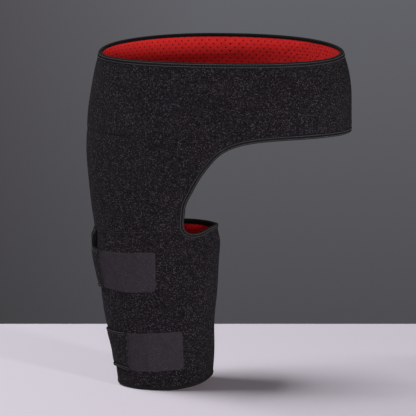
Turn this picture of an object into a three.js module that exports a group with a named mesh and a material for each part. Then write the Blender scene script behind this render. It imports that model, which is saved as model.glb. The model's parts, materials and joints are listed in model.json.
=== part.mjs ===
import * as THREE from 'three';

// A thigh compression wrap for the right leg: a waist band, a hip panel down the outer hip and a thigh
// cuff, sewn into one shell, lined, bound along its edges and closed by hook tabs.
// Lengths are millimetres and angles degrees. X runs across the hips towards the bare leg, Y from the
// belly to the back, and Z up. The origin is the middle of the waist loop, half way down the band.

// Heights, measured down from the waist rim
const bandHeight = 99;
const hipHeight = 125;
const cuffHeight = 199;

// Rings of the body: half width across X, half depth along Y, and offset of the middle along X
const waistHalfWidth = 155;
const waistHalfDepth = 101;
const waistOffset = 0.5;
const hipHalfWidth = 168.5;
const hipHalfDepth = 107;
const hipOffset = -3;
const thighHalfWidth = 80.5;
const thighHalfDepth = 64;
const thighOffset = -81.5;
const kneeHalfWidth = 61;
const kneeHalfDepth = 50;
const kneeOffset = -71;

// The cuff leans, its inner side higher than its outer one, and the rims aren't quite level: the waist
// rim rises at the back, and the knee rim dips in front, most at its inner front corner
const cuffLean = 4.6;
const backRise = 13.5;
const kneeDip = 4;
const kneeCornerDip = 4;
const kneeCornerAngle = 292;

// Layers, from the outer face inwards. Pieces sewn edge to edge keep the sewn gap, and pieces laid on
// each other keep the laid gap, because their flat facets cut the round at other places.
const shellThickness = 2.2;
const liningThickness = 1.1;
const sewnGap = 0.3;
const laidGap = 0.7;

// Edge tape, folded over the raw edges
const tapeThickness = 0.8;
const bindingWidth = 6.5;
const kneeBindingWidth = 4.5;
const flapBindingWidth = 4.5;

// Cut-out for the bare leg: its back edge stays further round than its front edge
const cutoutBackShift = 24;

// Closing flap on the outer side of the cuff, and its two tongues, from the cuff's top
const flapThickness = 2.4;
const flapRise = 3;
const flapBackAngle = 104;
const flapCornerAngle = 201;
const flapWaistAngle = 172;
const flapFlare = 1;
const upperTongueTop = 22.5;
const upperTongueAngle = 212.6;
const lowerTongueTop = 128.7;
const lowerTongueAngle = 234.8;

// Hook tabs
const tabThickness = 1.3;
const upperTabHeight = 52;
const lowerTabHeight = 49.8;
const waistTabHeight = 50;
const tabStep = 6;
const upperTabEndAngle = 273.5;
const lowerTabEndAngle = 297.5;
const waistTabStartAngle = 72;
const waistTabEndAngle = 108;
const tabMargin = 1;

// Facets round each ring and down each zone: the bindings have their points at the same angles
const waistColumns = 48;
const cuffColumns = 40;
const panelColumns = 20;
const bandRows = 5;
const cuffRows = 7;
const flapFacetAngle = 7;
const flapFacetDrop = 20;
const tabColumns = 10;
const tabRows = 3;
const waistTabColumns = 6;
const waistTabRows = 2;

const mix = (from, to, share) => from + (to - from) * share;
const radians = THREE.MathUtils.degToRad;

// Each zone of the body runs from an upper ring to a lower one. A profile row gives how far down the
// zone it lies, how much of the change to the lower ring is done there for the middle's shift (and the
// lean), for the width and for the depth, and how square the ring is: 2 is an ellipse, more is squarer,
// less is more pointed at the sides.
const bandProfile = [
  { down: 0.0, shift: 0.0, width: 0.0, depth: 0.0, square: 2.3 },
  { down: 0.25, shift: 0.0, width: 0.53, depth: 0.42, square: 2.1 },
  { down: 0.5, shift: 0.0, width: 0.88, depth: 0.7, square: 2.0 },
  { down: 0.75, shift: 0.43, width: 1.03, depth: 0.91, square: 1.9 },
];
const hipProfile = [
  { down: 0.0, shift: 0.0, width: 0.0, depth: 0.0, square: 1.85 },
  { down: 0.25, shift: 0.145, width: 0.115, depth: 0.16, square: 1.88 },
  { down: 0.5, shift: 0.42, width: 0.39, depth: 0.43, square: 1.93 },
  { down: 0.75, shift: 0.77, width: 0.75, depth: 0.77, square: 2.0 },
];
const cuffProfile = [
  { down: 0.0, shift: 0.0, width: 0.0, depth: 0.0, square: 2.05 },
  { down: 0.15, shift: 0.02, width: 0.02, depth: 0.02, square: 2.05 },
  { down: 0.3, shift: 0.16, width: 0.16, depth: 0.16, square: 2.05 },
  { down: 0.55, shift: 0.33, width: 0.46, depth: 0.42, square: 2.1 },
  { down: 0.8, shift: 0.8, width: 0.8, depth: 0.8, square: 2.1 },
  { down: 1.0, shift: 1.0, width: 1.0, depth: 1.0, square: 2.1 },
];
const waistRing = { offset: waistOffset, halfWidth: waistHalfWidth, halfDepth: waistHalfDepth, lean: 0 };
const hipRing = { offset: hipOffset, halfWidth: hipHalfWidth, halfDepth: hipHalfDepth, lean: 0 };
const thighRing = {
  offset: thighOffset, halfWidth: thighHalfWidth, halfDepth: thighHalfDepth, lean: cuffLean,
};
const kneeRing = {
  offset: kneeOffset, halfWidth: kneeHalfWidth, halfDepth: kneeHalfDepth, lean: cuffLean,
};
const bodyZones = [
  { height: bandHeight, upper: waistRing, lower: hipRing, profile: bandProfile },
  { height: hipHeight, upper: hipRing, lower: thighRing, profile: hipProfile },
  { height: cuffHeight, upper: thighRing, lower: kneeRing, profile: cuffProfile },
];
const cuffTop = bandHeight + hipHeight;
const kneeRim = cuffTop + cuffHeight;

// Rows of the whole body: drop below the waist rim, then offset, half width, half depth, lean, square
function makeBodyRows() {
  const rows = [];
  let top = 0;
  for (const zone of bodyZones) {
    const between = (key, share) => mix(zone.upper[key], zone.lower[key], share);
    for (const { down, shift, width, depth, square } of zone.profile) {
      rows.push({
        drop: top + down * zone.height,
        values: [
          between('offset', shift),
          between('halfWidth', width),
          between('halfDepth', depth),
          between('lean', shift),
          square,
        ],
      });
    }
    top += zone.height;
  }
  return rows;
}

// Slope of each row's values per millimetre of drop, the average of the stretches above and below
function rowSlopes(rows) {
  const stretch = rows.slice(1).map((row, i) => {
    const length = row.drop - rows[i].drop;
    return { length, slope: row.values.map((value, k) => (value - rows[i].values[k]) / length) };
  });
  return rows.map((row, i) => {
    const above = stretch[Math.max(i - 1, 0)];
    const below = stretch[Math.min(i, stretch.length - 1)];
    const both = above.length + below.length;
    return row.values.map(
      (_, k) => (above.slope[k] * below.length + below.slope[k] * above.length) / both,
    );
  });
}
const bodyRows = makeBodyRows();
const bodySlopes = rowSlopes(bodyRows);

// Ring of the body at a drop, on a smooth cubic through the rows
function ringAt(drop) {
  const inside = THREE.MathUtils.clamp(drop, 0, kneeRim);
  let i = bodyRows.length - 2;
  while (i > 0 && bodyRows[i].drop > inside) i -= 1;
  const length = bodyRows[i + 1].drop - bodyRows[i].drop;
  const t = (inside - bodyRows[i].drop) / length;
  const startWeight = (1 + 2 * t) * (1 - t) ** 2;
  const startSlopeWeight = t * (1 - t) ** 2 * length;
  const endWeight = t * t * (3 - 2 * t);
  const endSlopeWeight = t * t * (t - 1) * length;
  const [offset, halfWidth, halfDepth, lean, square] = bodyRows[i].values.map(
    (value, k) => value * startWeight + bodySlopes[i][k] * startSlopeWeight
      + bodyRows[i + 1].values[k] * endWeight + bodySlopes[i + 1][k] * endSlopeWeight,
  );
  return { offset, halfWidth, halfDepth, lean, square };
}

// Share of the cuff, from its bottom up, over which the dip of the knee rim fades out
const kneeRimShare = 0.15;

// Point of the body: angle 0 is the inner side (+X), 90 the back, 180 the outer hip, 270 the front;
// drop is measured down from the waist rim, and out is the distance outside the outer face
function bodyPoint(angle, drop, out) {
  const ring = ringAt(drop);
  const c = Math.cos(radians(angle));
  const s = Math.sin(radians(angle));
  const power = 2 / ring.square;
  const normal = new THREE.Vector2(
    Math.sign(c) * Math.abs(c) ** (2 - power) / ring.halfWidth,
    Math.sign(s) * Math.abs(s) ** (2 - power) / ring.halfDepth,
  ).normalize();
  const x = ring.halfWidth * Math.sign(c) * Math.abs(c) ** power + out * normal.x;
  const y = ring.halfDepth * Math.sign(s) * Math.abs(s) ** power + out * normal.y;
  const nearRim = THREE.MathUtils.clamp(1 - drop / bandHeight, 0, 1);
  const rise = backRise * (0.5 + 0.5 * s) ** 2 * nearRim ** 2;
  const rimStart = kneeRim - kneeRimShare * cuffHeight;
  const nearKnee = THREE.MathUtils.clamp((drop - rimStart) / (kneeRim - rimStart), 0, 1);
  const towardsCorner = Math.max(0, Math.cos(radians(angle - kneeCornerAngle)));
  const dip = (kneeDip * Math.max(0, -s) + kneeCornerDip * towardsCorner ** 3) * nearKnee ** 2;
  const z = bandHeight / 2 - drop + x * Math.tan(radians(ring.lean)) + rise - dip;
  return new THREE.Vector3(x + ring.offset, y, z);
}

// Layer depths under the outer face
const shellLayer = { outer: 0, inner: -shellThickness };
const liningLayer = {
  outer: -shellThickness - sewnGap,
  inner: -shellThickness - sewnGap - liningThickness,
};
const edgeInset = tapeThickness + laidGap;

// Closed sheet of cells between an inner and an outer face. place(column, row, face) gives a corner,
// covered(column, row) says whether a cell is cloth, and a sheet that wraps joins its last column.
// A slanted cell is split along its shorter diagonal, which keeps its two triangles close to the round.
const shorterDiagonal = 0.9;
function sheetGeometry({ columns, rows, wraps = false, covered = () => true, place }) {
  const positions = [];
  const triangles = [];
  const known = new Map();
  const corner = (column, row, face) => {
    const c = wraps ? column % columns : column;
    const key = `${c},${row},${face}`;
    if (!known.has(key)) {
      known.set(key, known.size);
      positions.push(...place(c, row, face));
    }
    return known.get(key);
  };
  const span = (a, b) => Math.hypot(...[0, 1, 2].map((k) => positions[3 * a + k] - positions[3 * b + k]));
  const quad = (a, b, c, d) => {
    const otherIsShorter = span(b, d) < shorterDiagonal * span(a, c);
    triangles.push(...(otherIsShorter ? [b, c, d, b, d, a] : [a, b, c, a, c, d]));
  };
  const isCloth = (column, row) => {
    const inColumns = wraps || (column >= 0 && column < columns);
    return inColumns && row >= 0 && row < rows && covered((column + columns) % columns, row);
  };
  for (let r = 0; r < rows; r += 1) {
    for (let c = 0; c < columns; c += 1) {
      if (!isCloth(c, r)) continue;
      const outer = [corner(c, r, 1), corner(c, r + 1, 1), corner(c + 1, r + 1, 1), corner(c + 1, r, 1)];
      const inner = [corner(c, r, 0), corner(c, r + 1, 0), corner(c + 1, r + 1, 0), corner(c + 1, r, 0)];
      quad(outer[0], outer[1], outer[2], outer[3]);
      quad(inner[0], inner[3], inner[2], inner[1]);
      if (!isCloth(c - 1, r)) quad(outer[0], inner[0], inner[1], outer[1]);
      if (!isCloth(c, r + 1)) quad(outer[1], inner[1], inner[2], outer[2]);
      if (!isCloth(c + 1, r)) quad(outer[2], inner[2], inner[3], outer[3]);
      if (!isCloth(c, r - 1)) quad(outer[3], inner[3], inner[0], outer[0]);
    }
  }
  return closedGeometry(positions, triangles);
}

// Geometry from positions and triangles, turned so that its faces point out
function closedGeometry(positions, triangles) {
  const point = (i) => new THREE.Vector3().fromArray(positions, 3 * i);
  let volume = 0;
  for (let t = 0; t < triangles.length; t += 3) {
    const [a, b, c] = [point(triangles[t]), point(triangles[t + 1]), point(triangles[t + 2])];
    volume += a.dot(b.cross(c)) / 6;
  }
  const index = volume > 0 ? triangles : triangles.slice().reverse();
  const geometry = new THREE.BufferGeometry();
  geometry.setAttribute('position', new THREE.Float32BufferAttribute(positions, 3));
  geometry.setIndex(index);
  geometry.computeVertexNormals();
  return geometry;
}

// Moves of a point of the outer face for one degree of angle and one millimetre of drop
function faceMoves({ angle, drop }) {
  const half = 0.5;
  return {
    byAngle: bodyPoint(angle + half, drop, 0).sub(bodyPoint(angle - half, drop, 0)),
    byDrop: bodyPoint(angle, drop + half, 0).sub(bodyPoint(angle, drop - half, 0)),
  };
}

// Change of angle and drop that moves one millimetre along a vector lying in the outer face
function stepAlong({ byAngle, byDrop }, vector) {
  const aa = byAngle.dot(byAngle);
  const ad = byAngle.dot(byDrop);
  const dd = byDrop.dot(byDrop);
  const a = byAngle.dot(vector);
  const d = byDrop.dot(vector);
  const scale = 1 / (aa * dd - ad * ad);
  return { angle: (a * dd - d * ad) * scale, drop: (d * aa - a * ad) * scale };
}

// Direction from each point of an edge into the cloth, square to the edge and mitred at its corners.
// side is 1 where the cloth lies to the left of the edge's run, seen from outside, and -1 to its right.
// The sharpest corner that is mitred turns by 120 degrees.
const sharpestMitre = 0.5;
function stepsIntoCloth(edge, closed, side) {
  const at = (i) => edge[(i + edge.length) % edge.length];
  const point = ({ angle, drop }) => bodyPoint(angle, drop, 0);
  return edge.map((here, i) => {
    const before = closed || i > 0 ? at(i - 1) : null;
    const after = closed || i < edge.length - 1 ? at(i + 1) : null;
    const origin = point(here);
    const arriving = before ? origin.clone().sub(point(before)).normalize() : null;
    const leaving = after ? point(after).sub(origin).normalize() : null;
    const along = (arriving || leaving).clone().add(leaving || arriving).normalize();
    const moves = faceMoves(here);
    const normal = moves.byDrop.clone().cross(moves.byAngle);
    const inward = normal.cross(along).normalize().multiplyScalar(side);
    const mitre = 1 / Math.max(sharpestMitre, along.dot(leaving || arriving));
    return stepAlong(moves, inward.multiplyScalar(mitre));
  });
}

// Edge tape folded over an edge as a U: its two legs lie outside and inside the cloth
function bindingGeometry(edge, { closed, side, width, outer, inner, lift = () => 0 }) {
  const steps = stepsIntoCloth(edge, closed, side);
  const section = [
    { into: width, out: outer + laidGap + tapeThickness },
    { into: 0, out: outer + laidGap + tapeThickness },
    { into: 0, out: inner - laidGap - tapeThickness },
    { into: width, out: inner - laidGap - tapeThickness },
    { into: width, out: inner - laidGap },
    { into: tapeThickness, out: inner - laidGap },
    { into: tapeThickness, out: outer + laidGap },
    { into: width, out: outer + laidGap },
  ];
  const positions = [];
  edge.forEach(({ angle, drop }, i) => {
    for (const { into, out } of section) {
      const here = { angle: angle + steps[i].angle * into, drop: drop + steps[i].drop * into };
      positions.push(...bodyPoint(here.angle, here.drop, out + lift(here.angle, here.drop)));
    }
  });
  const triangles = [];
  const stretches = closed ? edge.length : edge.length - 1;
  for (let i = 0; i < stretches; i += 1) {
    const here = i * section.length;
    const next = ((i + 1) % edge.length) * section.length;
    for (let k = 0; k < section.length; k += 1) {
      const l = (k + 1) % section.length;
      triangles.push(here + k, here + l, next + l, here + k, next + l, next + k);
    }
  }
  if (!closed) {
    const last = (edge.length - 1) * section.length;
    const caps = [[0, 1, 7], [1, 6, 7], [1, 2, 6], [2, 5, 6], [2, 3, 5], [3, 4, 5]];
    for (const [a, b, c] of caps) triangles.push(a, c, b, last + a, last + b, last + c);
  }
  return closedGeometry(positions, triangles);
}

// Multiples of a step that lie between two angles, at least half a step inside them
function anglesBetween(from, to, step) {
  const angles = [];
  for (let angle = Math.ceil(from / step + 0.5) * step; angle <= to - step / 2; angle += step) {
    angles.push(angle);
  }
  return angles;
}

// Front edge of the cut-out, from the band down to the cuff: down is a share of the hip's height
const frontEdgeRows = [
  { down: 0.0, angle: 306 },
  { down: 0.003, angle: 300 },
  { down: 0.014, angle: 293 },
  { down: 0.038, angle: 286.8 },
  { down: 0.075, angle: 282.2 },
  { down: 0.12, angle: 279 },
  { down: 0.18, angle: 276.8 },
  { down: 0.27, angle: 275.3 },
  { down: 0.38, angle: 275 },
  { down: 0.5, angle: 276.4 },
  { down: 0.62, angle: 279.6 },
  { down: 0.72, angle: 283.8 },
  { down: 0.81, angle: 289.2 },
  { down: 0.885, angle: 294.0 },
  { down: 0.945, angle: 297.9 },
  { down: 0.986, angle: 301.0 },
  { down: 1.017, angle: 304.2 },
  { down: 1.036, angle: 308.0 },
];

// Cuff rim on the inner thigh, counted on past 360: millimetres below the cuff's top. It dips just past
// the cut-out's front edge and sags again at the back.
const rimRows = [
  { angle: 308, below: 4.5 },
  { angle: 312, below: 5.8 },
  { angle: 319, below: 6.2 },
  { angle: 326, below: 4.8 },
  { angle: 333, below: 2.6 },
  { angle: 341, below: 1.2 },
  { angle: 352, below: 1.2 },
  { angle: 368, below: 3.4 },
  { angle: 384, below: 4.8 },
  { angle: 400, below: 4.2 },
  { angle: 420, below: 3.4 },
  { angle: 438, below: 2.4 },
];
const rimDrop = (angle) => {
  const next = Math.max(1, rimRows.findIndex((row) => row.angle >= angle));
  const [a, b] = [rimRows[next - 1], rimRows[next]];
  return cuffTop + mix(a.below, b.below, (angle - a.angle) / (b.angle - a.angle));
};

// The back edge mirrors the front one, counted on past 360, and stays further round; it starts from the
// cuff's rim
const toBack = (angle) => 720 - angle + cutoutBackShift;
const backRimAngle = rimRows[rimRows.length - 1].angle;
const rimEnd = { down: (rimDrop(backRimAngle) - bandHeight) / hipHeight, angle: toBack(backRimAngle) };
const backEdgeRows = [...frontEdgeRows.filter(({ down }) => down < 1), rimEnd]
  .map(({ down, angle }) => ({ down, angle: toBack(angle) }))
  .reverse();

// The cut-out's whole edge as one loop: front edge down, cuff rim, back edge up, band back to the front
const edgePoint = ({ down, angle }) => ({ angle, drop: bandHeight + down * hipHeight });
const frontEdge = frontEdgeRows.map(edgePoint);
const backEdge = backEdgeRows.map(edgePoint);
const rimEdge = anglesBetween(frontEdge[frontEdge.length - 1].angle, backEdge[0].angle, 360 / cuffColumns)
  .map((angle) => ({ angle, drop: rimDrop(angle) }));
const bandEdge = anglesBetween(frontEdge[0].angle, backEdge[backEdge.length - 1].angle, 360 / waistColumns)
  .map((angle) => ({ angle, drop: bandHeight })).reverse();
const legEdge = [...frontEdge, ...rimEdge, ...backEdge, ...bandEdge];

// The same loop taken back to the cloth's raw edge, under the tape
const legSteps = stepsIntoCloth(legEdge, true, -1);
const rawLegEdge = legEdge.map(({ angle, drop }, i) => ({
  angle: angle + legSteps[i].angle * edgeInset,
  drop: drop + legSteps[i].drop * edgeInset,
}));
const rawFront = rawLegEdge.slice(0, frontEdge.length);
const rawBack = rawLegEdge.slice(frontEdge.length + rimEdge.length).slice(0, backEdge.length).reverse();

// Angle at which a raw edge, listed downwards, crosses a drop
function crossingAngle(edge, drop) {
  const i = edge.findIndex((point) => point.drop > drop);
  const [a, b] = [edge[i - 1], edge[i]];
  return mix(a.angle, b.angle, (drop - a.drop) / (b.drop - a.drop));
}

// Drops of the two seams, and of the cuff's raw top edge: the lowest within half a facet on each side
const panelTop = bandHeight - edgeInset + sewnGap;
const panelBottom = cuffTop + edgeInset - sewnGap;
const cuffSeam = cuffTop + edgeInset;
function rimRawDrop(angle) {
  for (let i = 1; i < rawLegEdge.length; i += 1) {
    const a = rawLegEdge[i - 1];
    const b = rawLegEdge[i];
    if (a.drop > panelBottom && a.angle <= angle && angle < b.angle) {
      return mix(a.drop, b.drop, (angle - a.angle) / (b.angle - a.angle));
    }
  }
  return cuffSeam;
}
function cuffRawTop(angle) {
  const around = angle < 180 ? angle + 360 : angle;
  const half = 180 / cuffColumns;
  return Math.max(cuffSeam, rimRawDrop(around - half), rimRawDrop(around), rimRawDrop(around + half));
}

// Shares of a length from edge to edge, whose first and last steps are as wide as the bindings
function sharesBetweenBindings(count, length) {
  const first = bindingWidth / length;
  const last = count - 1;
  return Array.from({ length: count + 1 }, (_, i) => {
    if (i === 0 || i > last) return i === 0 ? 0 : 1;
    return mix(first, 1 - first, (i - 1) / (last - 1));
  });
}

// Closed ring of cloth between two edges given as drops
function ringGeometry(columns, rows, topDrop, bottomDrop, layer) {
  const shares = sharesBetweenBindings(rows, bottomDrop(0) - topDrop(0));
  return sheetGeometry({
    columns,
    rows,
    wraps: true,
    place: (column, row, face) => {
      const angle = 360 * column / columns;
      const drop = mix(topDrop(angle), bottomDrop(angle), shares[row]);
      return bodyPoint(angle, drop, face ? layer.outer : layer.inner);
    },
  });
}

// Hip panel between the cut-out's back and front edges, with a row at each point of those edges
function panelGeometry(columns, layer) {
  const seamEnds = (drop) => ({
    front: { drop, angle: crossingAngle(rawFront, drop) },
    back: { drop, angle: crossingAngle(rawBack, drop) },
  });
  const isBetweenSeams = ({ front, back }) => (
    Math.min(front.drop, back.drop) > panelTop + sewnGap
    && Math.max(front.drop, back.drop) < panelBottom - sewnGap
  );
  const edges = [
    seamEnds(panelTop),
    ...rawBack.map((back, i) => ({ front: rawFront[i], back })).filter(isBetweenSeams),
    seamEnds(panelBottom),
  ];
  const acrossHip = Math.PI * (hipHalfDepth + thighHalfDepth) / 2;
  const shares = sharesBetweenBindings(columns, acrossHip);
  return sheetGeometry({
    columns,
    rows: edges.length - 1,
    place: (column, row, face) => {
      const { front, back } = edges[row];
      const drop = mix(back.drop, front.drop, shares[column]);
      const angle = mix(back.angle - 360, front.angle, shares[column]);
      return bodyPoint(angle, drop, face ? layer.outer : layer.inner);
    },
  });
}

// Closing flap: it lies on the cuff and stands a little off it towards its front corner
const flapTop = cuffTop - flapRise;
const tongueAt = (start, height, end) => ({
  top: cuffTop + start, bottom: cuffTop + start + height + 2 * tabMargin, end,
});
const upperTongue = tongueAt(upperTongueTop, upperTabHeight, upperTongueAngle);
const lowerTongue = tongueAt(lowerTongueTop, lowerTabHeight, lowerTongueAngle);
const flapInner = laidGap + tapeThickness + laidGap;
const flapOuter = flapInner + flapThickness;
const shareBetween = (value, from, to) => THREE.MathUtils.clamp((value - from) / (to - from), 0, 1);
const flapLift = (angle, drop) => {
  const towardsCorner = shareBetween(angle, flapWaistAngle, flapCornerAngle);
  const belowTop = shareBetween(drop, flapTop, upperTongue.bottom);
  return flapFlare * towardsCorner * (1 - belowTop);
};

// Evenly spaced values between stops, each stretch cut into steps of about a reach
function spacedValues(stops, reach) {
  const values = [stops[0]];
  for (let i = 1; i < stops.length; i += 1) {
    const steps = Math.max(1, Math.round((stops[i] - stops[i - 1]) / reach));
    for (let k = 1; k <= steps; k += 1) values.push(mix(stops[i - 1], stops[i], k / steps));
  }
  return values;
}
const byValue = (a, b) => a - b;

// Angles and drops of the flap's outline, taken back from its taped edges by an inset in millimetres
const cuffGirthStep = Math.PI * (thighHalfWidth + kneeHalfWidth + thighHalfDepth + kneeHalfDepth) / 720;
function flapOutline(inset) {
  const around = inset / cuffGirthStep;
  return {
    back: flapBackAngle,
    corner: flapCornerAngle - around,
    waist: flapWaistAngle - around,
    top: flapTop + inset,
    upperTop: upperTongue.top + inset,
    upperBottom: upperTongue.bottom - inset,
    lowerTop: lowerTongue.top + inset,
    lowerBottom: lowerTongue.bottom - inset,
  };
}
const flapAngles = ({ back, waist, corner }) => spacedValues(
  [back, waist, corner, upperTongue.end, lowerTongue.end],
  flapFacetAngle,
);
const flapDrops = ({ top, upperTop, upperBottom, lowerTop, lowerBottom }) => spacedValues(
  [top, upperTop, upperBottom, lowerTop, lowerBottom],
  flapFacetDrop,
);

function flapGeometry() {
  const line = flapOutline(edgeInset);
  const angles = flapAngles(line);
  const drops = flapDrops(line);
  const endAt = (drop) => {
    if (drop > line.upperTop && drop < line.upperBottom) return upperTongue.end;
    if (drop > line.lowerTop) return lowerTongue.end;
    return drop < line.upperTop ? line.corner : line.waist;
  };
  return sheetGeometry({
    columns: angles.length - 1,
    rows: drops.length - 1,
    covered: (column, row) => {
      const middleAngle = (angles[column] + angles[column + 1]) / 2;
      return middleAngle < endAt((drops[row] + drops[row + 1]) / 2);
    },
    place: (column, row, face) => {
      const lift = flapLift(angles[column], drops[row]);
      return bodyPoint(angles[column], drops[row], lift + (face ? flapOuter : flapInner));
    },
  });
}

// The three taped stretches of the flap's edge, each ending where a hook tab is sewn on
function flapTapeEdges() {
  const { back, corner, waist, top, upperTop, upperBottom, lowerTop, lowerBottom } = flapOutline(0);
  return {
    flap_top_binding: [
      { angle: back, drop: top }, { angle: corner, drop: top }, { angle: corner, drop: upperTop },
      { angle: upperTongue.end, drop: upperTop },
    ],
    flap_middle_binding: [
      { angle: upperTongue.end, drop: upperBottom }, { angle: waist, drop: upperBottom },
      { angle: waist, drop: lowerTop }, { angle: lowerTongue.end, drop: lowerTop },
    ],
    flap_bottom_binding: [
      { angle: lowerTongue.end, drop: lowerBottom }, { angle: back, drop: lowerBottom },
    ],
  };
}

// Line through corners of angle and drop, with a point wherever it crosses the flap's own facets
function steppedEdge(corners) {
  const outline = flapOutline(0);
  const line = [corners[0]];
  for (let i = 1; i < corners.length; i += 1) {
    const [from, to] = [corners[i - 1], corners[i]];
    const key = from.drop === to.drop ? 'angle' : 'drop';
    const facets = key === 'angle' ? flapAngles(outline) : flapDrops(outline);
    const [low, high] = [from[key], to[key]].sort(byValue);
    const crossed = facets.filter((value) => value > low && value < high);
    if (from[key] > to[key]) crossed.reverse();
    line.push(...crossed.map((value) => ({ ...from, [key]: value })), to);
  }
  return line;
}

// Hook tab: sewn to a tongue's end, it steps down on to the cuff and lies there as far as its end
function tabGeometry(tongue, endAngle) {
  const start = tongue.end + sewnGap / cuffGirthStep;
  const stepEnd = start + tabStep / cuffGirthStep;
  const angles = spacedValues([start, stepEnd, endAngle], (endAngle - start) / tabColumns);
  const [top, bottom] = [tongue.top + tabMargin, tongue.bottom - tabMargin];
  const drops = spacedValues([top, bottom], (bottom - top) / tabRows);
  return sheetGeometry({
    columns: angles.length - 1,
    rows: drops.length - 1,
    place: (column, row, face) => {
      const angle = angles[column];
      const down = THREE.MathUtils.smoothstep(angle, start, stepEnd);
      const onFlap = flapOuter - tabThickness + flapLift(start, drops[row]);
      return bodyPoint(angle, drops[row], mix(onFlap, laidGap, down) + (face ? tabThickness : 0));
    },
  });
}

// Plain hook tab that closes the band at its back
function waistTabGeometry() {
  const top = (bandHeight - waistTabHeight) / 2;
  return sheetGeometry({
    columns: waistTabColumns,
    rows: waistTabRows,
    place: (column, row, face) => {
      const angle = mix(waistTabStartAngle, waistTabEndAngle, column / waistTabColumns);
      const drop = top + waistTabHeight * row / waistTabRows;
      return bodyPoint(angle, drop, laidGap + (face ? tabThickness : 0));
    },
  });
}

const materials = {
  loop: new THREE.MeshStandardMaterial({ color: 0x2b2a2d, roughness: 0.97, metalness: 0 }),
  lining: new THREE.MeshStandardMaterial({ color: 0xb81f1c, roughness: 0.9, metalness: 0 }),
  tape: new THREE.MeshStandardMaterial({ color: 0x1a1a1c, roughness: 0.85, metalness: 0 }),
  hook: new THREE.MeshStandardMaterial({ color: 0x434046, roughness: 0.8, metalness: 0 }),
};

const wrap = new THREE.Group();
function addPiece(name, geometry, material) {
  const mesh = new THREE.Mesh(geometry, material);
  mesh.name = name;
  wrap.add(mesh);
}

const bandTop = () => edgeInset;
const bandBottom = () => bandHeight - edgeInset;
const cuffBottom = () => kneeRim - edgeInset;
addPiece(
  'waist_band',
  ringGeometry(waistColumns, bandRows, bandTop, bandBottom, shellLayer),
  materials.loop,
);
addPiece(
  'waist_lining',
  ringGeometry(waistColumns, bandRows, bandTop, bandBottom, liningLayer),
  materials.lining,
);
addPiece('hip_panel', panelGeometry(panelColumns, shellLayer), materials.loop);
addPiece('hip_lining', panelGeometry(panelColumns, liningLayer), materials.lining);
addPiece(
  'thigh_cuff',
  ringGeometry(cuffColumns, cuffRows, cuffRawTop, cuffBottom, shellLayer),
  materials.loop,
);
addPiece(
  'thigh_lining',
  ringGeometry(cuffColumns, cuffRows, cuffRawTop, cuffBottom, liningLayer),
  materials.lining,
);

const levelEdge = (columns, drop) => Array.from(
  { length: columns },
  (_, i) => ({ angle: 360 * i / columns, drop }),
);
const wallFaces = { outer: shellLayer.outer, inner: liningLayer.inner };
addPiece(
  'waist_binding',
  bindingGeometry(levelEdge(waistColumns, 0), {
    closed: true, side: -1, width: bindingWidth, ...wallFaces,
  }),
  materials.tape,
);
addPiece(
  'leg_binding',
  bindingGeometry(legEdge, { closed: true, side: -1, width: bindingWidth, ...wallFaces }),
  materials.tape,
);
addPiece(
  'knee_binding',
  bindingGeometry(levelEdge(cuffColumns, kneeRim), {
    closed: true, side: 1, width: kneeBindingWidth, ...wallFaces,
  }),
  materials.tape,
);

addPiece('closing_flap', flapGeometry(), materials.loop);
for (const [name, corners] of Object.entries(flapTapeEdges())) {
  addPiece(
    name,
    bindingGeometry(steppedEdge(corners), {
      closed: false, side: -1, width: flapBindingWidth, outer: flapOuter, inner: flapInner, lift: flapLift,
    }),
    materials.tape,
  );
}
addPiece('upper_hook_tab', tabGeometry(upperTongue, upperTabEndAngle), materials.hook);
addPiece('lower_hook_tab', tabGeometry(lowerTongue, lowerTabEndAngle), materials.hook);
addPiece('waist_hook_tab', waistTabGeometry(), materials.hook);

export default wrap;
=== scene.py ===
# %% [markdown]
# # A thigh compression wrap
# The wrap goes on the right leg: a waist band, a hip panel down the outer hip and a thigh cuff are
# sewn into one shell of loop cloth, lined with perforated foam cloth and bound along every edge with
# folded tape. A closing flap wraps round the cuff and two hook tabs hold it.
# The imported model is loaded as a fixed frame, and every piece here is laid on the same body surface as
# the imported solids, so nothing has to be fitted by eye.

import json

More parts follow.
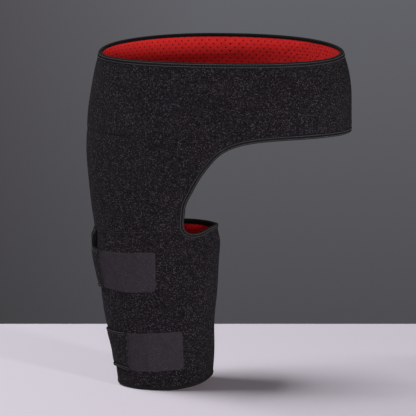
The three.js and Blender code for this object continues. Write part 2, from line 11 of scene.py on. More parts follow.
import bpy
import numpy as np
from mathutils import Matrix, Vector

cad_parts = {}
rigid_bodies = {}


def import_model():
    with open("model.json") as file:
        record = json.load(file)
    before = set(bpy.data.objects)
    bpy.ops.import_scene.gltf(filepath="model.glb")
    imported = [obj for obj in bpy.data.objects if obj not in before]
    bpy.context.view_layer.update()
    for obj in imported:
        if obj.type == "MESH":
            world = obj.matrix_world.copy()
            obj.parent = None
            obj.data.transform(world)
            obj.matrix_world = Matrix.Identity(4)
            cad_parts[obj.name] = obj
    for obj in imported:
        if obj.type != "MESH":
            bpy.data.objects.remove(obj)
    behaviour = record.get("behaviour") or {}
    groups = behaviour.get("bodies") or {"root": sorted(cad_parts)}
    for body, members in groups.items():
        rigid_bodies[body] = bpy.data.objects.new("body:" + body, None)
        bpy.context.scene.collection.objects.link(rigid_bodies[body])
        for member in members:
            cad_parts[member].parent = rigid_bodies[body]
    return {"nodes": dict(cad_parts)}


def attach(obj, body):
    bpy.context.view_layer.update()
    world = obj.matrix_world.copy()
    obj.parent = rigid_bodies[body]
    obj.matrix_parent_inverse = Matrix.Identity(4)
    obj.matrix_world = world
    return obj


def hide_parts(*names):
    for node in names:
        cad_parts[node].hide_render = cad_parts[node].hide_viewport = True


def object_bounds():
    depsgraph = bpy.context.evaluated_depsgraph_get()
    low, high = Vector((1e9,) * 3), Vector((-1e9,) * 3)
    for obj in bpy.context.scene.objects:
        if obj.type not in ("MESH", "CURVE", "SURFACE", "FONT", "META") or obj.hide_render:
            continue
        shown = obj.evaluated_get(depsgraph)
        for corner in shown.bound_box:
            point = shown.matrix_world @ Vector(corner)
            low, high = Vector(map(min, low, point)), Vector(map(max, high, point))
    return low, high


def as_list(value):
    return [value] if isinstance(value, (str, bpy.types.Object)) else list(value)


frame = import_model()
cad_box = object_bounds()
print("packed nodes:", len(frame["nodes"]))

# %% [markdown]
# ## Camera
# The photograph is taken from a little above the rim, about 7 degrees to the bare leg's side, with a long
# lens. Setting the camera first fixes the frame of every later step.

# %% Camera
CAMERA_PLACE = Vector((0.54841, -4.46646, 0.61999))
CAMERA_AIM = Vector((-0.01578, -0.00201, -0.15045))
camera_data = bpy.data.cameras.new("camera")
camera_data.sensor_width = 36
camera_data.lens = 308.66
camera_data.clip_start = 0.1
camera_data.clip_end = 60
camera = bpy.data.objects.new("camera", camera_data)
camera.location = CAMERA_PLACE
camera.rotation_mode = "QUATERNION"
camera.rotation_quaternion = (CAMERA_AIM - CAMERA_PLACE).to_track_quat("-Z", "Y")
bpy.context.scene.collection.objects.link(camera)
bpy.context.scene.camera = camera
print("camera distance:", round((CAMERA_AIM - CAMERA_PLACE).length, 3), "m")

# %% [markdown]
# ## The body surface
# Cloth that is worn has the shape of what is under it. The waist is a wide oval ring, the hip a wider
# one, and the thigh and the knee end are small rings set over to one side. Modelling each panel on its
# own would leave gaps at the seams, so all of them are laid on one smooth surface of angle and drop.
# The angle is 0 at the inner side (+X), 90 at the back, 180 at the outer hip and 270 at the front; the
# drop is measured in millimetres down from the waist rim.

# %% Rings of the body
BAND_HEIGHT = 99.0
HIP_HEIGHT = 125.0
CUFF_HEIGHT = 199.0
CUFF_TOP = BAND_HEIGHT + HIP_HEIGHT
KNEE_RIM = CUFF_TOP + CUFF_HEIGHT
BACK_RISE = 13.5
KNEE_DIP = 4.0
KNEE_CORNER_DIP = 4.0
KNEE_CORNER_ANGLE = 292.0
KNEE_RIM_SHARE = 0.15

# Offset of the middle along X, half width, half depth, and lean in degrees
waist_ring = np.array([0.5, 155.0, 101.0, 0.0])
hip_ring = np.array([-3.0, 168.5, 107.0, 0.0])
thigh_ring = np.array([-81.5, 80.5, 64.0, 4.6])
knee_ring = np.array([-71.0, 61.0, 50.0, 4.6])

# Share of the zone's height, then the share of the change to its lower ring for the middle's shift (and
# the lean), for the width and for the depth, and how square the ring is there
band_profile = [
    (0.0, 0.0, 0.0, 0.0, 2.3),
    (0.25, 0.0, 0.53, 0.42, 2.1),
    (0.5, 0.0, 0.88, 0.7, 2.0),
    (0.75, 0.43, 1.03, 0.91, 1.9),
]
hip_profile = [
    (0.0, 0.0, 0.0, 0.0, 1.85),
    (0.25, 0.145, 0.115, 0.16, 1.88),
    (0.5, 0.42, 0.39, 0.43, 1.93),
    (0.75, 0.77, 0.75, 0.77, 2.0),
]
cuff_profile = [
    (0.0, 0.0, 0.0, 0.0, 2.05),
    (0.15, 0.02, 0.02, 0.02, 2.05),
    (0.3, 0.16, 0.16, 0.16, 2.05),
    (0.55, 0.33, 0.46, 0.42, 2.1),
    (0.8, 0.8, 0.8, 0.8, 2.1),
    (1.0, 1.0, 1.0, 1.0, 2.1),
]
zones = [
    (0.0, BAND_HEIGHT, waist_ring, hip_ring, band_profile),
    (BAND_HEIGHT, HIP_HEIGHT, hip_ring, thigh_ring, hip_profile),
    (CUFF_TOP, CUFF_HEIGHT, thigh_ring, knee_ring, cuff_profile),
]
rows = np.array([
    [top + down * height, *(upper + (lower - upper) * np.array([shift, width, depth, shift])), square]
    for top, height, upper, lower, profile in zones
    for down, shift, width, depth, square in profile
])
row_drop = rows[:, 0]
row_value = rows[:, 1:]
stretch = np.diff(row_drop)
stretch_slope = np.diff(row_value, axis=0) / stretch[:, None]
above = np.clip(np.arange(len(rows)) - 1, 0, len(stretch) - 1)
below = np.clip(np.arange(len(rows)), 0, len(stretch) - 1)
row_slope = stretch_slope[above] * stretch[below, None] + stretch_slope[below] * stretch[above, None]
row_slope /= (stretch[above] + stretch[below])[:, None]
print("rows of the body:", len(rows))

# %% [markdown]
# ## A point on the body
# Each ring is a rounded oval, wider than deep and a little squared, like the waist and the thigh inside
# it. Curves joined by a loft would make the surface too, but a formula gives any point at any distance
# out from it, which is what the linings, the tapes and the stitches need later.

# %% Point of the body
def ring_at(drop):
    """Ring values at a drop: a smooth cubic through the rows, with each row's own slope."""
    inside = np.clip(drop, 0, KNEE_RIM)
    i = np.clip(np.searchsorted(row_drop, inside, side="right") - 1, 0, len(stretch) - 1)
    length = stretch[i]
    t = (inside - row_drop[i]) / length
    weights = [
        (1 + 2 * t) * (1 - t) ** 2,
        t * (1 - t) ** 2 * length,
        t * t * (3 - 2 * t),
        t * t * (t - 1) * length,
    ]
    corners = [row_value[i], row_slope[i], row_value[i + 1], row_slope[i + 1]]
    values = sum(weight[..., None] * corner for weight, corner in zip(weights, corners))
    return np.moveaxis(values, -1, 0)


def body_point(angle, drop, out):
    """Rounded ring: x is the half width times the cosine and y the half depth times the sine, each
    raised to a power that squares the oval, plus the distance out along the ring's own normal. The
    height falls with the drop, leans with x, and rises at the back rim and dips at the front hem."""
    angle, drop, out = np.broadcast_arrays(*(np.asarray(v, float) for v in (angle, drop, out)))
    offset, half_width, half_depth, lean, square = ring_at(drop)
    c = np.cos(np.radians(angle))
    s = np.sin(np.radians(angle))
    power = 2 / square
    nx = np.sign(c) * np.abs(c) ** (2 - power) / half_width
    ny = np.sign(s) * np.abs(s) ** (2 - power) / half_depth
    size = np.hypot(nx, ny)
    x = half_width * np.sign(c) * np.abs(c) ** power + out * nx / size
    y = half_depth * np.sign(s) * np.abs(s) ** power + out * ny / size
    near_rim = np.clip(1 - drop / BAND_HEIGHT, 0, 1)
    rise = BACK_RISE * (0.5 + 0.5 * s) ** 2 * near_rim**2
    near_knee = np.clip((drop - KNEE_RIM) / (KNEE_RIM_SHARE * CUFF_HEIGHT) + 1, 0, 1)
    to_corner = np.maximum(0, np.cos(np.radians(angle - KNEE_CORNER_ANGLE)))
    dip = (KNEE_DIP * np.maximum(0, -s) + KNEE_CORNER_DIP * to_corner**3) * near_knee**2
    z = BAND_HEIGHT / 2 - drop + x * np.tan(np.radians(lean)) + rise - dip
    return np.stack([x + offset, y, z], axis=-1)


print("front of the waist rim:", np.round(body_point(270, 0, 0), 1).tolist(), "mm")

# %% [markdown]
# ## Slack in the cloth
# Foam-backed cloth never hangs as an exact oval. It sways by about a millimetre in long waves, and it is
# drawn in at each seam. A cloth simulation would give this too, but it would also let the seams drift
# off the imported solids, so the slack is a sum of a few seeded waves that close round the ring.

# %% Slack of the cloth
wave_seed = np.random.default_rng(11)
WAVE_SIZE = 0.34
FULL_TURN = 6.283
# Waves round the body, then each wave's length down it, its two starting points and its size
waves = [
    (count, wave_seed.uniform(70, 150), wave_seed.uniform(0, 6.28, 2), WAVE_SIZE)
    for count in (2, 3, 4, 5, 7, 9)
]
SEAM_PULL = 0.7
SEAM_REACH = 3.0
# Drop of each seam and how far it runs either side of the outer hip, in degrees
LINES_OF_SEAM = ((BAND_HEIGHT, 118.0), (CUFF_TOP, 118.0))
SEAM_END = 12.0
# The cuff's free rim inside the thigh rolls in a little, from so many degrees off the outer hip and
# fully after so many more
RIM_PULL = 1.0
RIM_REACH = 8.0
RIM_START = 130.0
RIM_GROWTH = 25.0


def slack(angle, drop):
    """Sum of waves in angle and drop, less a narrow bell at each seam, fading out at the seam's ends,
    and less the pull of the cuff's free rim."""
    total = 0.0
    for count, length, (around, down), size in waves:
        around_wave = np.sin(np.radians(angle) * count + around)
        down_wave = np.sin(FULL_TURN * drop / length + down)
        total = total + size * around_wave * down_wave
    from_hip = np.abs(np.mod(angle, 360) - 180)
    for seam, half_run in LINES_OF_SEAM:
        sewn = np.clip((half_run - from_hip) / SEAM_END, 0, 1)
        total = total - SEAM_PULL * sewn * np.exp(-(((drop - seam) / SEAM_REACH) ** 2))
    inside = np.clip((from_hip - RIM_START) / RIM_GROWTH, 0, 1)
    return total - RIM_PULL * inside * np.exp(-(((drop - CUFF_TOP) / RIM_REACH) ** 2))


def cloth_point(angle, drop, out):
    """Point of the body moved out by the cloth's slack there."""
    return body_point(angle, drop, out + slack(angle, drop))


def girth_step(drop):
    """Millimetres round the body for one degree of angle, from the ring's mean radius."""
    _, half_width, half_depth, _, _ = ring_at(np.asarray(drop, float))
    return np.pi * (half_width + half_depth) / 360


print("slack at the front of the band:", np.round(slack(270.0, 48.0), 2), "mm")

# %% [markdown]
# ## From arrays to pieces
# Every piece below ends as an array of points and arrays of faces. One helper puts them into a mesh,
# turns the faces outwards if the closed shape is inside out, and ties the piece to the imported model.

# %% Mesh helper
MM = 0.001


def signed_volume(points, face_sets):
    """Sum over the faces' fans of triangles of the volume of each with the origin."""
    total = 0.0
    for faces in face_sets:
        for k in range(1, faces.shape[1] - 1):
            a, b, c = points[faces[:, 0]], points[faces[:, k]], points[faces[:, k + 1]]
            total += np.einsum("ij,ij->", a, np.cross(b, c)) / 6
    return total


def add_piece(name, points, face_sets, materials, flat=None, kinds=None, nodes=(), slot=None):
    """New object at the origin. points are millimetres, each face set an array of corner numbers, flat
    the matching corner coordinates of the unrolled cloth in millimetres, kinds each set's material."""
    points = points.reshape(-1, 3)
    inside_out = signed_volume(points, face_sets) < 0
    turn = slice(None, None, -1) if inside_out else slice(None)
    face_sets = [faces[:, turn] for faces in face_sets]
    sizes = np.concatenate([np.full(len(faces), faces.shape[1]) for faces in face_sets])
    corners = np.concatenate([faces.ravel() for faces in face_sets])
    mesh = bpy.data.meshes.new(name)
    mesh.vertices.add(len(points))
    mesh.vertices.foreach_set("co", (points * MM).astype(np.float32).ravel())
    mesh.loops.add(len(corners))
    mesh.loops.foreach_set("vertex_index", corners.astype(np.int32))
    mesh.polygons.add(len(sizes))
    mesh.polygons.foreach_set("loop_start", (np.cumsum(sizes) - sizes).astype(np.int32))
    for material in materials:
        mesh.materials.append(material)
    if kinds:
        numbers = np.concatenate([np.full(len(f), kind) for f, kind in zip(face_sets, kinds)])
        mesh.polygons.foreach_set("material_index", numbers.astype(np.int32))
    if flat is not None:
        places = np.concatenate([place[:, turn].reshape(-1, 2) for place in flat])
        mesh.uv_layers.new(name="flat").data.foreach_set("uv", (places * MM).astype(np.float32).ravel())
    mesh.update(calc_edges=True)
    mesh.shade_smooth()
    piece = bpy.data.objects.new(name, mesh)
    bpy.context.scene.collection.objects.link(piece)
    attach(piece, "root")
    if nodes:
        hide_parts(*nodes)
    print(f"{name}: {int((sizes - 2).sum())} triangles")
    return piece


def grid_corners(columns, rows):
    """Column and row numbers of the four corners of every cell of a grid, each as (cells, 4)."""
    i, j = np.meshgrid(np.arange(columns), np.arange(rows), indexing="ij")
    i, j = i.reshape(-1, 1), j.reshape(-1, 1)
    return i + np.array([0, 0, 1, 1]), j + np.array([0, 1, 1, 0])


# %% [markdown]
# ## Materials
# The outer cloth is brushed loop pile: nearly black, dull, with single loops that catch the light as small
# grey flecks, which are painted highlights in its colour. One group makes the flecks and their height, and
# each cloth sets its own size and amount. Patterns that must follow the cloth read its unrolled coordinates,
# the others the object's.

# %% Node helpers
def add_node(tree, kind, inputs=None, **settings):
    """New node; an input is a plain value or another node's output."""
    made = tree.nodes.new("ShaderNode" + kind)
    for name, value in settings.items():
        setattr(made, name, value)
    for name, value in (inputs or {}).items():
        socket = made.inputs[name]
        if isinstance(value, bpy.types.NodeSocket):
            tree.links.new(value, socket)
        else:
            socket.default_value = value
    return made


def math_node(tree, operation, *values, clamp=False):
    """Output of a math node over its values, in order."""
    made = add_node(tree, "Math", dict(enumerate(values)), operation=operation, use_clamp=clamp)
    return made.outputs[0]


def ramp(tree, value, low, high):
    """Output that rises from 0 to 1 while the value goes from low to high."""
    made = add_node(tree, "MapRange", {"Value": value, "From Min": low, "From Max": high})
    return made.outputs[0]


def new_group(name, inputs, outputs):
    """Empty node group with named sockets: returns its tree, input sockets and output node."""
    tree = bpy.data.node_groups.new(name, "ShaderNodeTree")
    for title, kind, value in inputs:
        socket = tree.interface.new_socket(title, in_out="INPUT", socket_type="NodeSocket" + kind)
        if value is not None:
            socket.default_value = value
    for title, kind in outputs:
        tree.interface.new_socket(title, in_out="OUTPUT", socket_type="NodeSocket" + kind)
    start = tree.nodes.new("NodeGroupInput")
    end = tree.nodes.new("NodeGroupOutput")
    return tree, start.outputs, end


def place_group(tree, group, inputs):
    """A group node of that group with its inputs filled."""
    return add_node(tree, "Group", inputs, node_tree=group)


print("shader groups so far:", len(bpy.data.node_groups))


# %% [markdown]
# ## Loop flecks
# A brushed loop cloth is a mat of tiny loops. Modelling them would take millions of faces, and a plain noise
# looks like dirt. Two sizes of random cells, few of them bright, mark single loops that catch the light,
# where the pile paints its highlights, and the same cells lift the surface a little.

# %% Loop flecks, shared by the pile and the hook cloths
def loop_cells(tree, vector, scale, power):
    """Random cells of one size: the brightness of each cell is a random number raised to a power, so
    that few are bright, times the dome of the cell. Returns the flecks and the dome."""
    cells = add_node(tree, "TexVoronoi", {"Vector": vector, "Scale": scale})
    luck = add_node(tree, "SeparateColor", {"Color": cells.outputs["Color"]}).outputs["Red"]
    fade = {"From Min": 0.1, "From Max": 0.62, "To Min": 1.0, "To Max": 0.0}
    dome = add_node(
        tree, "MapRange", {"Value": cells.outputs["Distance"], **fade}, interpolation_type="SMOOTHSTEP"
    ).outputs[0]
    return math_node(tree, "MULTIPLY", math_node(tree, "POWER", luck, power), dome), dome


# How many times finer than the large loops the small ones and the fuzz are
SMALL_LOOPS = 1.9
FUZZ = 2.6


def make_loop_flecks():
    """Large and small loops over one another, fine fuzz, and the broad nap of a brushed cloth."""
    tree, given, end = new_group(
        "loop_flecks",
        [("Vector", "Vector", None), ("Size", "Float", 0.002)],
        [("Flecks", "Float"), ("Nap", "Float"), ("Height", "Float")],
    )
    scale = math_node(tree, "DIVIDE", 1.0, given["Size"])
    large, large_dome = loop_cells(tree, given["Vector"], scale, 2.3)
    small_scale = math_node(tree, "MULTIPLY", scale, SMALL_LOOPS)
    small, small_dome = loop_cells(tree, given["Vector"], small_scale, 2.0)
    fuzz_scale = math_node(tree, "MULTIPLY", scale, FUZZ)
    fuzz = add_node(tree, "TexNoise", {"Vector": given["Vector"], "Scale": fuzz_scale, "Detail": 3.0})
    nap_look = {"Scale": 26.0, "Detail": 4.0, "Roughness": 0.62}
    nap = add_node(tree, "TexNoise", {"Vector": given["Vector"], **nap_look})
    flecks = math_node(tree, "MULTIPLY_ADD", small, 0.55, large, clamp=True)
    domes = math_node(tree, "MULTIPLY_ADD", small_dome, 0.5, large_dome)
    height = math_node(tree, "MULTIPLY_ADD", fuzz.outputs["Fac"], 0.8, domes)
    tree.links.new(flecks, end.inputs["Flecks"])
    tree.links.new(nap.outputs["Fac"], end.inputs["Nap"])
    tree.links.new(height, end.inputs["Height"])
    return tree


loop_flecks = make_loop_flecks()
print("group:", loop_flecks.name, "with", len(loop_flecks.nodes), "nodes")

# %% [markdown]
# ## Fine knit
# Tape, hook tabs, foam lining and thread are all ribbed cloths that differ in the width of their ribs.
# Two crossed sine waves over the unrolled cloth make every one of them, so this is the second shared
# group.

# %% Fine knit, shared by the tape, the tabs and the lining
def make_fine_knit():
    """Ribs along one direction crossed by fainter ribs: the height is the product of two sine waves
    of the unrolled coordinates, and the tone a soft noise along the ribs."""
    tree, given, end = new_group(
        "fine_knit",
        [("Vector", "Vector", None), ("Rib", "Float", 0.0009), ("Cross Rib", "Float", 0.0012)],
        [("Height", "Float"), ("Tone", "Float")],
    )
    split = add_node(tree, "SeparateXYZ", {"Vector": given["Vector"]})
    waves_of = []
    for axis, width in (("X", "Rib"), ("Y", "Cross Rib")):
        turns = math_node(tree, "DIVIDE", split.outputs[axis], given[width])
        wave = math_node(tree, "SINE", math_node(tree, "MULTIPLY", turns, 6.2832))
        waves_of.append(math_node(tree, "MULTIPLY_ADD", wave, 0.5, 0.5))
    height = math_node(tree, "MULTIPLY", waves_of[0], waves_of[1])
    wear = add_node(tree, "TexNoise", {"Vector": given["Vector"], "Scale": 90.0, "Detail": 4.0})
    tree.links.new(height, end.inputs["Height"])
    tree.links.new(wear.outputs["Fac"], end.inputs["Tone"])
    return tree


fine_knit = make_fine_knit()
print("group:", fine_knit.name, "with", len(fine_knit.nodes), "nodes")

# %% [markdown]
# ## A dull cloth shader
# Every cloth on the wrap is matt. They share a rough surface, a weak grey sheen and hardly any mirror
# reflection, so one helper sets those on the shader's own sockets, and only the colour and the bump are
# worked out for each.

# %% Dull cloth shader
SPECULAR = 0.08


def new_material(name, roughness, sheen, sheen_tint, sheen_roughness):
    """Material with a dull cloth shader: returns it, its tree and the shader."""
    material = bpy.data.materials.new(name)
    material.use_nodes = True
    tree = material.node_tree
    shader = tree.nodes["Principled BSDF"]
    shader.inputs["Roughness"].default_value = roughness
    shader.inputs["Specular IOR Level"].default_value = SPECULAR
    shader.inputs["Sheen Weight"].default_value = sheen
    shader.inputs["Sheen Tint"].default_value = (*sheen_tint, 1)
    shader.inputs["Sheen Roughness"].default_value = sheen_roughness
    return material, tree, shader


def mix_colour(tree, factor, low, high):
    """Colour between two others."""
    made = tree.nodes.new("ShaderNodeMix")
    made.data_type = "RGBA"
    for number, value in ((0, factor), (6, low), (7, high)):
        if isinstance(value, bpy.types.NodeSocket):
            tree.links.new(value, made.inputs[number])
        elif number:
            made.inputs[number].default_value = (*value, 1)
        else:
            made.inputs[number].default_value = value
    return made.outputs[2]


def bump(tree, shader, height, distance, strength=1.0):
    """Bump of that height in metres on the shader's normal."""
    made = add_node(tree, "Bump", {"Height": height, "Distance": distance, "Strength": strength})
    tree.links.new(made.outputs["Normal"], shader.inputs["Normal"])


print("specular level of the cloths:", SPECULAR)

# %% [markdown]
# ## Loop pile and knit
# The outside of the band, the panel, the cuff and the flap is loop pile. It reads Object coordinates,
# because its flecks have no direction. The knitted cloths read their unrolled coordinates instead, so
# that the ribs follow the tape round each bend.

# %% Loop pile and knit
SPECKLE_SIZE = 0.0016
SPECKLE_GAIN = 3.2


def pile_material(name, dark, fleck_highlight, size, height):
    """Loop pile: a dark ground mottled by the nap, with lighter loops on it, painted highlights where loops
    catch the light.
    """
    material, tree, shader = new_material(name, 0.95, 0.02, (0.75, 0.72, 0.78), 0.45)
    place = add_node(tree, "TexCoord").outputs["Object"]
    loops = place_group(tree, loop_flecks, {"Vector": place, "Size": size})
    nap = ramp(tree, loops.outputs["Nap"], 0.3, 0.7)
    ground = mix_colour(tree, nap, tuple(0.7 * c for c in dark), tuple(1.15 * c for c in dark))
    # Painted highlights: the flecks lighten the colour where single loops would catch the light.
    colour = mix_colour(tree, loops.outputs["Flecks"], ground, fleck_highlight)
    tree.links.new(colour, shader.inputs["Base Color"])
    bump(tree, shader, loops.outputs["Height"], height)
    return material


def knit_material(name, colour, contrast, rib, cross_rib, height, speckle=0.0, roughness=0.8):
    """Smooth knitted or woven cloth, ribbed along its unrolled coordinates and speckled with single
    lighter fibres."""
    material, tree, shader = new_material(name, roughness, 0.02, (0.8, 0.78, 0.82), 0.4)
    place = add_node(tree, "UVMap", uv_map="flat").outputs["UV"]
    knit = place_group(tree, fine_knit, {"Vector": place, "Rib": rib, "Cross Rib": cross_rib})
    low = tuple(c * (1 - contrast) for c in colour)
    high = tuple(c * (1 + contrast) for c in colour)
    shade = math_node(tree, "MULTIPLY_ADD", knit.outputs["Height"], 0.4, knit.outputs["Tone"], clamp=True)
    cloth = mix_colour(tree, shade, low, high)
    if speckle:
        fibres = place_group(tree, loop_flecks, {"Vector": place, "Size": SPECKLE_SIZE})
        share = math_node(tree, "MULTIPLY", fibres.outputs["Flecks"], speckle, clamp=True)
        cloth = mix_colour(tree, share, cloth, tuple(c * SPECKLE_GAIN for c in colour))
    tree.links.new(cloth, shader.inputs["Base Color"])
    bump(tree, shader, knit.outputs["Height"], height)
    return material


print("speckle size:", SPECKLE_SIZE, "m")

# %% [markdown]
# ## The wrap's own cloths
# One line for each cloth that shows: black loop pile, red foam and the darker walls of its holes, the tape
# outside the fold and a darker copy of it for inside the fold, which is painted shade, the grey hook tape,
# and the threads.

# %% Cloths of the wrap
PILE_DARK = (0.0074, 0.0056, 0.0074)
# The fleck colour of the pile is a painted highlight of single loops.
PILE_FLECK_HIGHLIGHT = (0.122, 0.108, 0.126)
loop_pile = pile_material("loop_pile", PILE_DARK, PILE_FLECK_HIGHLIGHT, 0.0018, 0.0012)
red_foam = knit_material("red_foam", (0.68, 0.024, 0.024), 0.14, 0.0011, 0.0011, 0.0002)
hole_shade = knit_material("hole_shade", (0.13, 0.008, 0.008), 0.2, 0.001, 0.001, 0.0001)
edge_tape = knit_material("edge_tape", (0.0098, 0.0088, 0.0094), 0.4, 0.0016, 0.0008, 0.0003, 0.9)
# The tape's faces inside the wrap are a darker copy of the edge tape: painted shade.
shaded_inner_tape = knit_material("shaded_inner_tape", (0.0045, 0.0042, 0.0044), 0.3, 0.0016, 0.0008, 0.0003)
hook_back = knit_material("hook_back", (0.0268, 0.0224, 0.0272), 0.3, 0.0012, 0.0008, 0.0002, 0.55)
thread = knit_material("thread", (0.11, 0.105, 0.108), 0.3, 0.0005, 0.0004, 0.00008)
seam_thread = knit_material("seam_thread", (0.045, 0.04, 0.046), 0.3, 0.0005, 0.0004, 0.00008)
dark_thread = knit_material("dark_thread", (0.006, 0.006, 0.0065), 0.3, 0.0005, 0.0004, 0.00008)
print("materials:", [m.name for m in (loop_pile, red_foam, hole_shade, edge_tape, hook_back, thread)])

# %% [markdown]
# ## The cut-out's edge
# The bare leg comes out through one closed edge: down the front of the hip panel, along the cuff's rim
# inside the thigh, up the back of the panel and along the bottom of the band. It is measured as a short
# table of the front edge; the back edge mirrors it, a little further round. The whole loop is then
# resampled evenly and smoothed, as a bound edge has no corners.

# %% Edge of the cut-out
CUTOUT_BACK_SHIFT = 24.0
# Degrees between points on the level stretches, and the least left to the next steep one
LEVEL_STEP = 3.0
LEVEL_STOP = 2.0
# Share of the hip's height, and angle
front_edge_rows = np.array([
    (0.0, 306), (0.003, 300), (0.014, 293), (0.038, 286.8), (0.075, 282.2), (0.12, 279),
    (0.18, 276.8), (0.27, 275.3), (0.38, 275), (0.5, 276.4), (0.62, 279.6), (0.72, 283.8),
    (0.81, 289.2), (0.885, 294.0), (0.945, 297.9), (0.986, 301.0), (1.017, 304.2), (1.036, 308.0),
])
# Cuff rim inside the thigh: angle, counted on past 360, and millimetres below the cuff's top
rim_rows = np.array([
    (308, 4.5), (312, 5.8), (319, 6.2), (326, 4.8), (333, 2.6), (341, 1.2),
    (352, 1.2), (368, 3.4), (384, 4.8), (400, 4.2), (420, 3.4), (438, 2.4),
])


def to_back(angle):
    """Mirror of a front angle, counted on past 360."""
    return 720 - angle + CUTOUT_BACK_SHIFT


def resample(line, step, closed):
    """The line of (angle, drop) rows again, with points every step millimetres along the body."""
    ends = np.vstack([line, line[:1]]) if closed else line
    places = body_point(ends[:, 0], ends[:, 1], 0)
    far = np.concatenate([[0], np.cumsum(np.linalg.norm(np.diff(places, axis=0), axis=1))])
    count = int(round(far[-1] / step))
    wanted = np.linspace(0, far[-1], count + 1)
    if closed:
        wanted = wanted[:-1]
    return np.stack([np.interp(wanted, far, ends[:, 0]), np.interp(wanted, far, ends[:, 1])], axis=1)


def smoothed(line, reach):
    """Moving average over a window of reach points on either side of each, round a closed line."""
    window = np.arange(-reach, reach + 1)
    places = (np.arange(len(line))[:, None] + window) % len(line)
    return line[places].mean(axis=1)


front_edge = np.stack([front_edge_rows[:, 1], BAND_HEIGHT + front_edge_rows[:, 0] * HIP_HEIGHT], axis=1)
above_rim = front_edge[front_edge[:, 1] < CUFF_TOP][::-1]
back_edge = np.stack([to_back(above_rim[:, 0]), above_rim[:, 1]], axis=1)
rim_angles = np.arange(front_edge[-1, 0] + LEVEL_STEP, back_edge[0, 0] - LEVEL_STOP, LEVEL_STEP)
rim_edge = np.stack([rim_angles, CUFF_TOP + np.interp(rim_angles, *rim_rows.T)], axis=1)
band_angles = np.arange(back_edge[-1, 0] - LEVEL_STEP, front_edge[0, 0] + LEVEL_STOP, -LEVEL_STEP)
band_edge = np.stack([band_angles, np.full(len(band_angles), BAND_HEIGHT)], axis=1)
EDGE_STEP = 1.6
SMOOTH_REACH = 3
whole_edge = np.vstack([front_edge, rim_edge, back_edge, band_edge])
leg_edge = smoothed(resample(whole_edge, EDGE_STEP, True), SMOOTH_REACH)
print("cut-out edge:", len(leg_edge), "points,", round(EDGE_STEP * len(leg_edge)), "mm round")

# %% [markdown]
# ## From an edge into the cloth
# The cloth is cut a little short of the bound edge, and the tape and its stitches lie at set distances
# from it. Points moved by eye would make the tape wander, so the step into the cloth is worked out at
# each point of the edge from the surface itself.

# %% Steps from an edge into the cloth
def steps_into_cloth(line, closed, side):
    """Change of angle and drop for one millimetre square to the edge, into the cloth: the direction is
    the surface's normal crossed with the edge's own direction, written in the two surface moves."""
    angle, drop = line[:, 0], line[:, 1]
    by_angle = body_point(angle + 0.5, drop, 0) - body_point(angle - 0.5, drop, 0)
    by_drop = body_point(angle, drop + 0.5, 0) - body_point(angle, drop - 0.5, 0)
    places = body_point(angle, drop, 0)
    if closed:
        along = np.roll(places, -1, axis=0) - np.roll(places, 1, axis=0)
    else:
        along = np.gradient(places, axis=0)
    inward = np.cross(np.cross(by_drop, by_angle), along)
    inward *= side / np.linalg.norm(inward, axis=1)[:, None]
    aa, ad, dd = ((p * q).sum(1) for p, q in ((by_angle, by_angle), (by_angle, by_drop), (by_drop, by_drop)))
    a, d = (inward * by_angle).sum(1), (inward * by_drop).sum(1)
    return np.stack([a * dd - d * ad, d * aa - a * ad], axis=1) / (aa * dd - ad * ad)[:, None]


# Raw edge of the cloth, under the tape
TAPE_INSET = 1.5
# Points this far above the cuff's top or lower belong to its rim
RIM_WINDOW = 20.0
leg_steps = steps_into_cloth(leg_edge, True, -1)
raw_leg_edge = leg_edge + TAPE_INSET * leg_steps
lowest_front = np.argmax(raw_leg_edge[:, 0] > rim_rows[1, 0])
raw_front = raw_leg_edge[:lowest_front]
raw_rim = raw_leg_edge[raw_leg_edge[:, 1] > CUFF_TOP - RIM_WINDOW]
raw_rim = raw_rim[np.argsort(raw_rim[:, 0])]
print("raw front edge:", len(raw_front), "points")


def front_angle(drop):
    """Angle of the hip panel's raw front edge at a drop."""
    order = np.argsort(raw_front[:, 1])
    return np.interp(drop, raw_front[order, 1], raw_front[order, 0])


def cuff_raw_top(angle):
    """Drop of the cuff's raw top edge: the seam under the hip panel, the rim inside the thigh."""
    seam = CUFF_TOP + TAPE_INSET
    around = np.where(angle < 180, angle + 360, angle)
    return np.maximum(seam, np.interp(around, raw_rim[:, 0], raw_rim[:, 1], left=seam, right=seam))


# %% [markdown]
# ## Shell panels
# Each panel is foam-backed cloth 2.2 mm thick. A flat plane with a Solidify modifier would have sharp
# cut edges, so both faces are worked out: they stand half the thickness either side of the middle, and
# close in on each other along a quarter circle at every raw edge.

# %% Closed sheet of cloth
SHELL = 2.2
ROUNDING = 0.9
EDGE_SHARES = np.array([0.0, 0.15, 0.5, 1.0])
# Even lines of a grid stay this many roundings off its ends
CLEAR_OF_END = 1.6


def spaced(start, end, step, rounding=0.0):
    """Values from start to end about a step apart, with closer ones inside each end's rounding."""
    count = max(2, int(round((end - start) / step)))
    middle = np.linspace(start, end, count + 1)
    if not rounding:
        return middle
    near = rounding * EDGE_SHARES
    clear = CLEAR_OF_END * rounding
    inner = middle[(middle > start + clear) & (middle < end - clear)]
    return np.concatenate([start + near, inner, end - near[::-1]])


def sheet_faces(covered, rim, wraps):
    """Corner numbers of the outer and inner faces of a sheet, which share the points on its rim."""
    columns, row_count = covered.shape
    i, j = grid_corners(columns, row_count)
    keep = covered.ravel()
    i, j = i[keep], j[keep]
    across = i % rim.shape[0] if wraps else i
    used = np.zeros(rim.shape, bool)
    used[across, j] = True
    outer = np.full(rim.shape, -1)
    outer[used] = np.arange(used.sum())
    inner = outer.copy()
    free = used & ~rim
    inner[free] = used.sum() + np.arange(free.sum())
    return used, free, outer[across, j], inner[across, j][:, ::-1], (i, j)


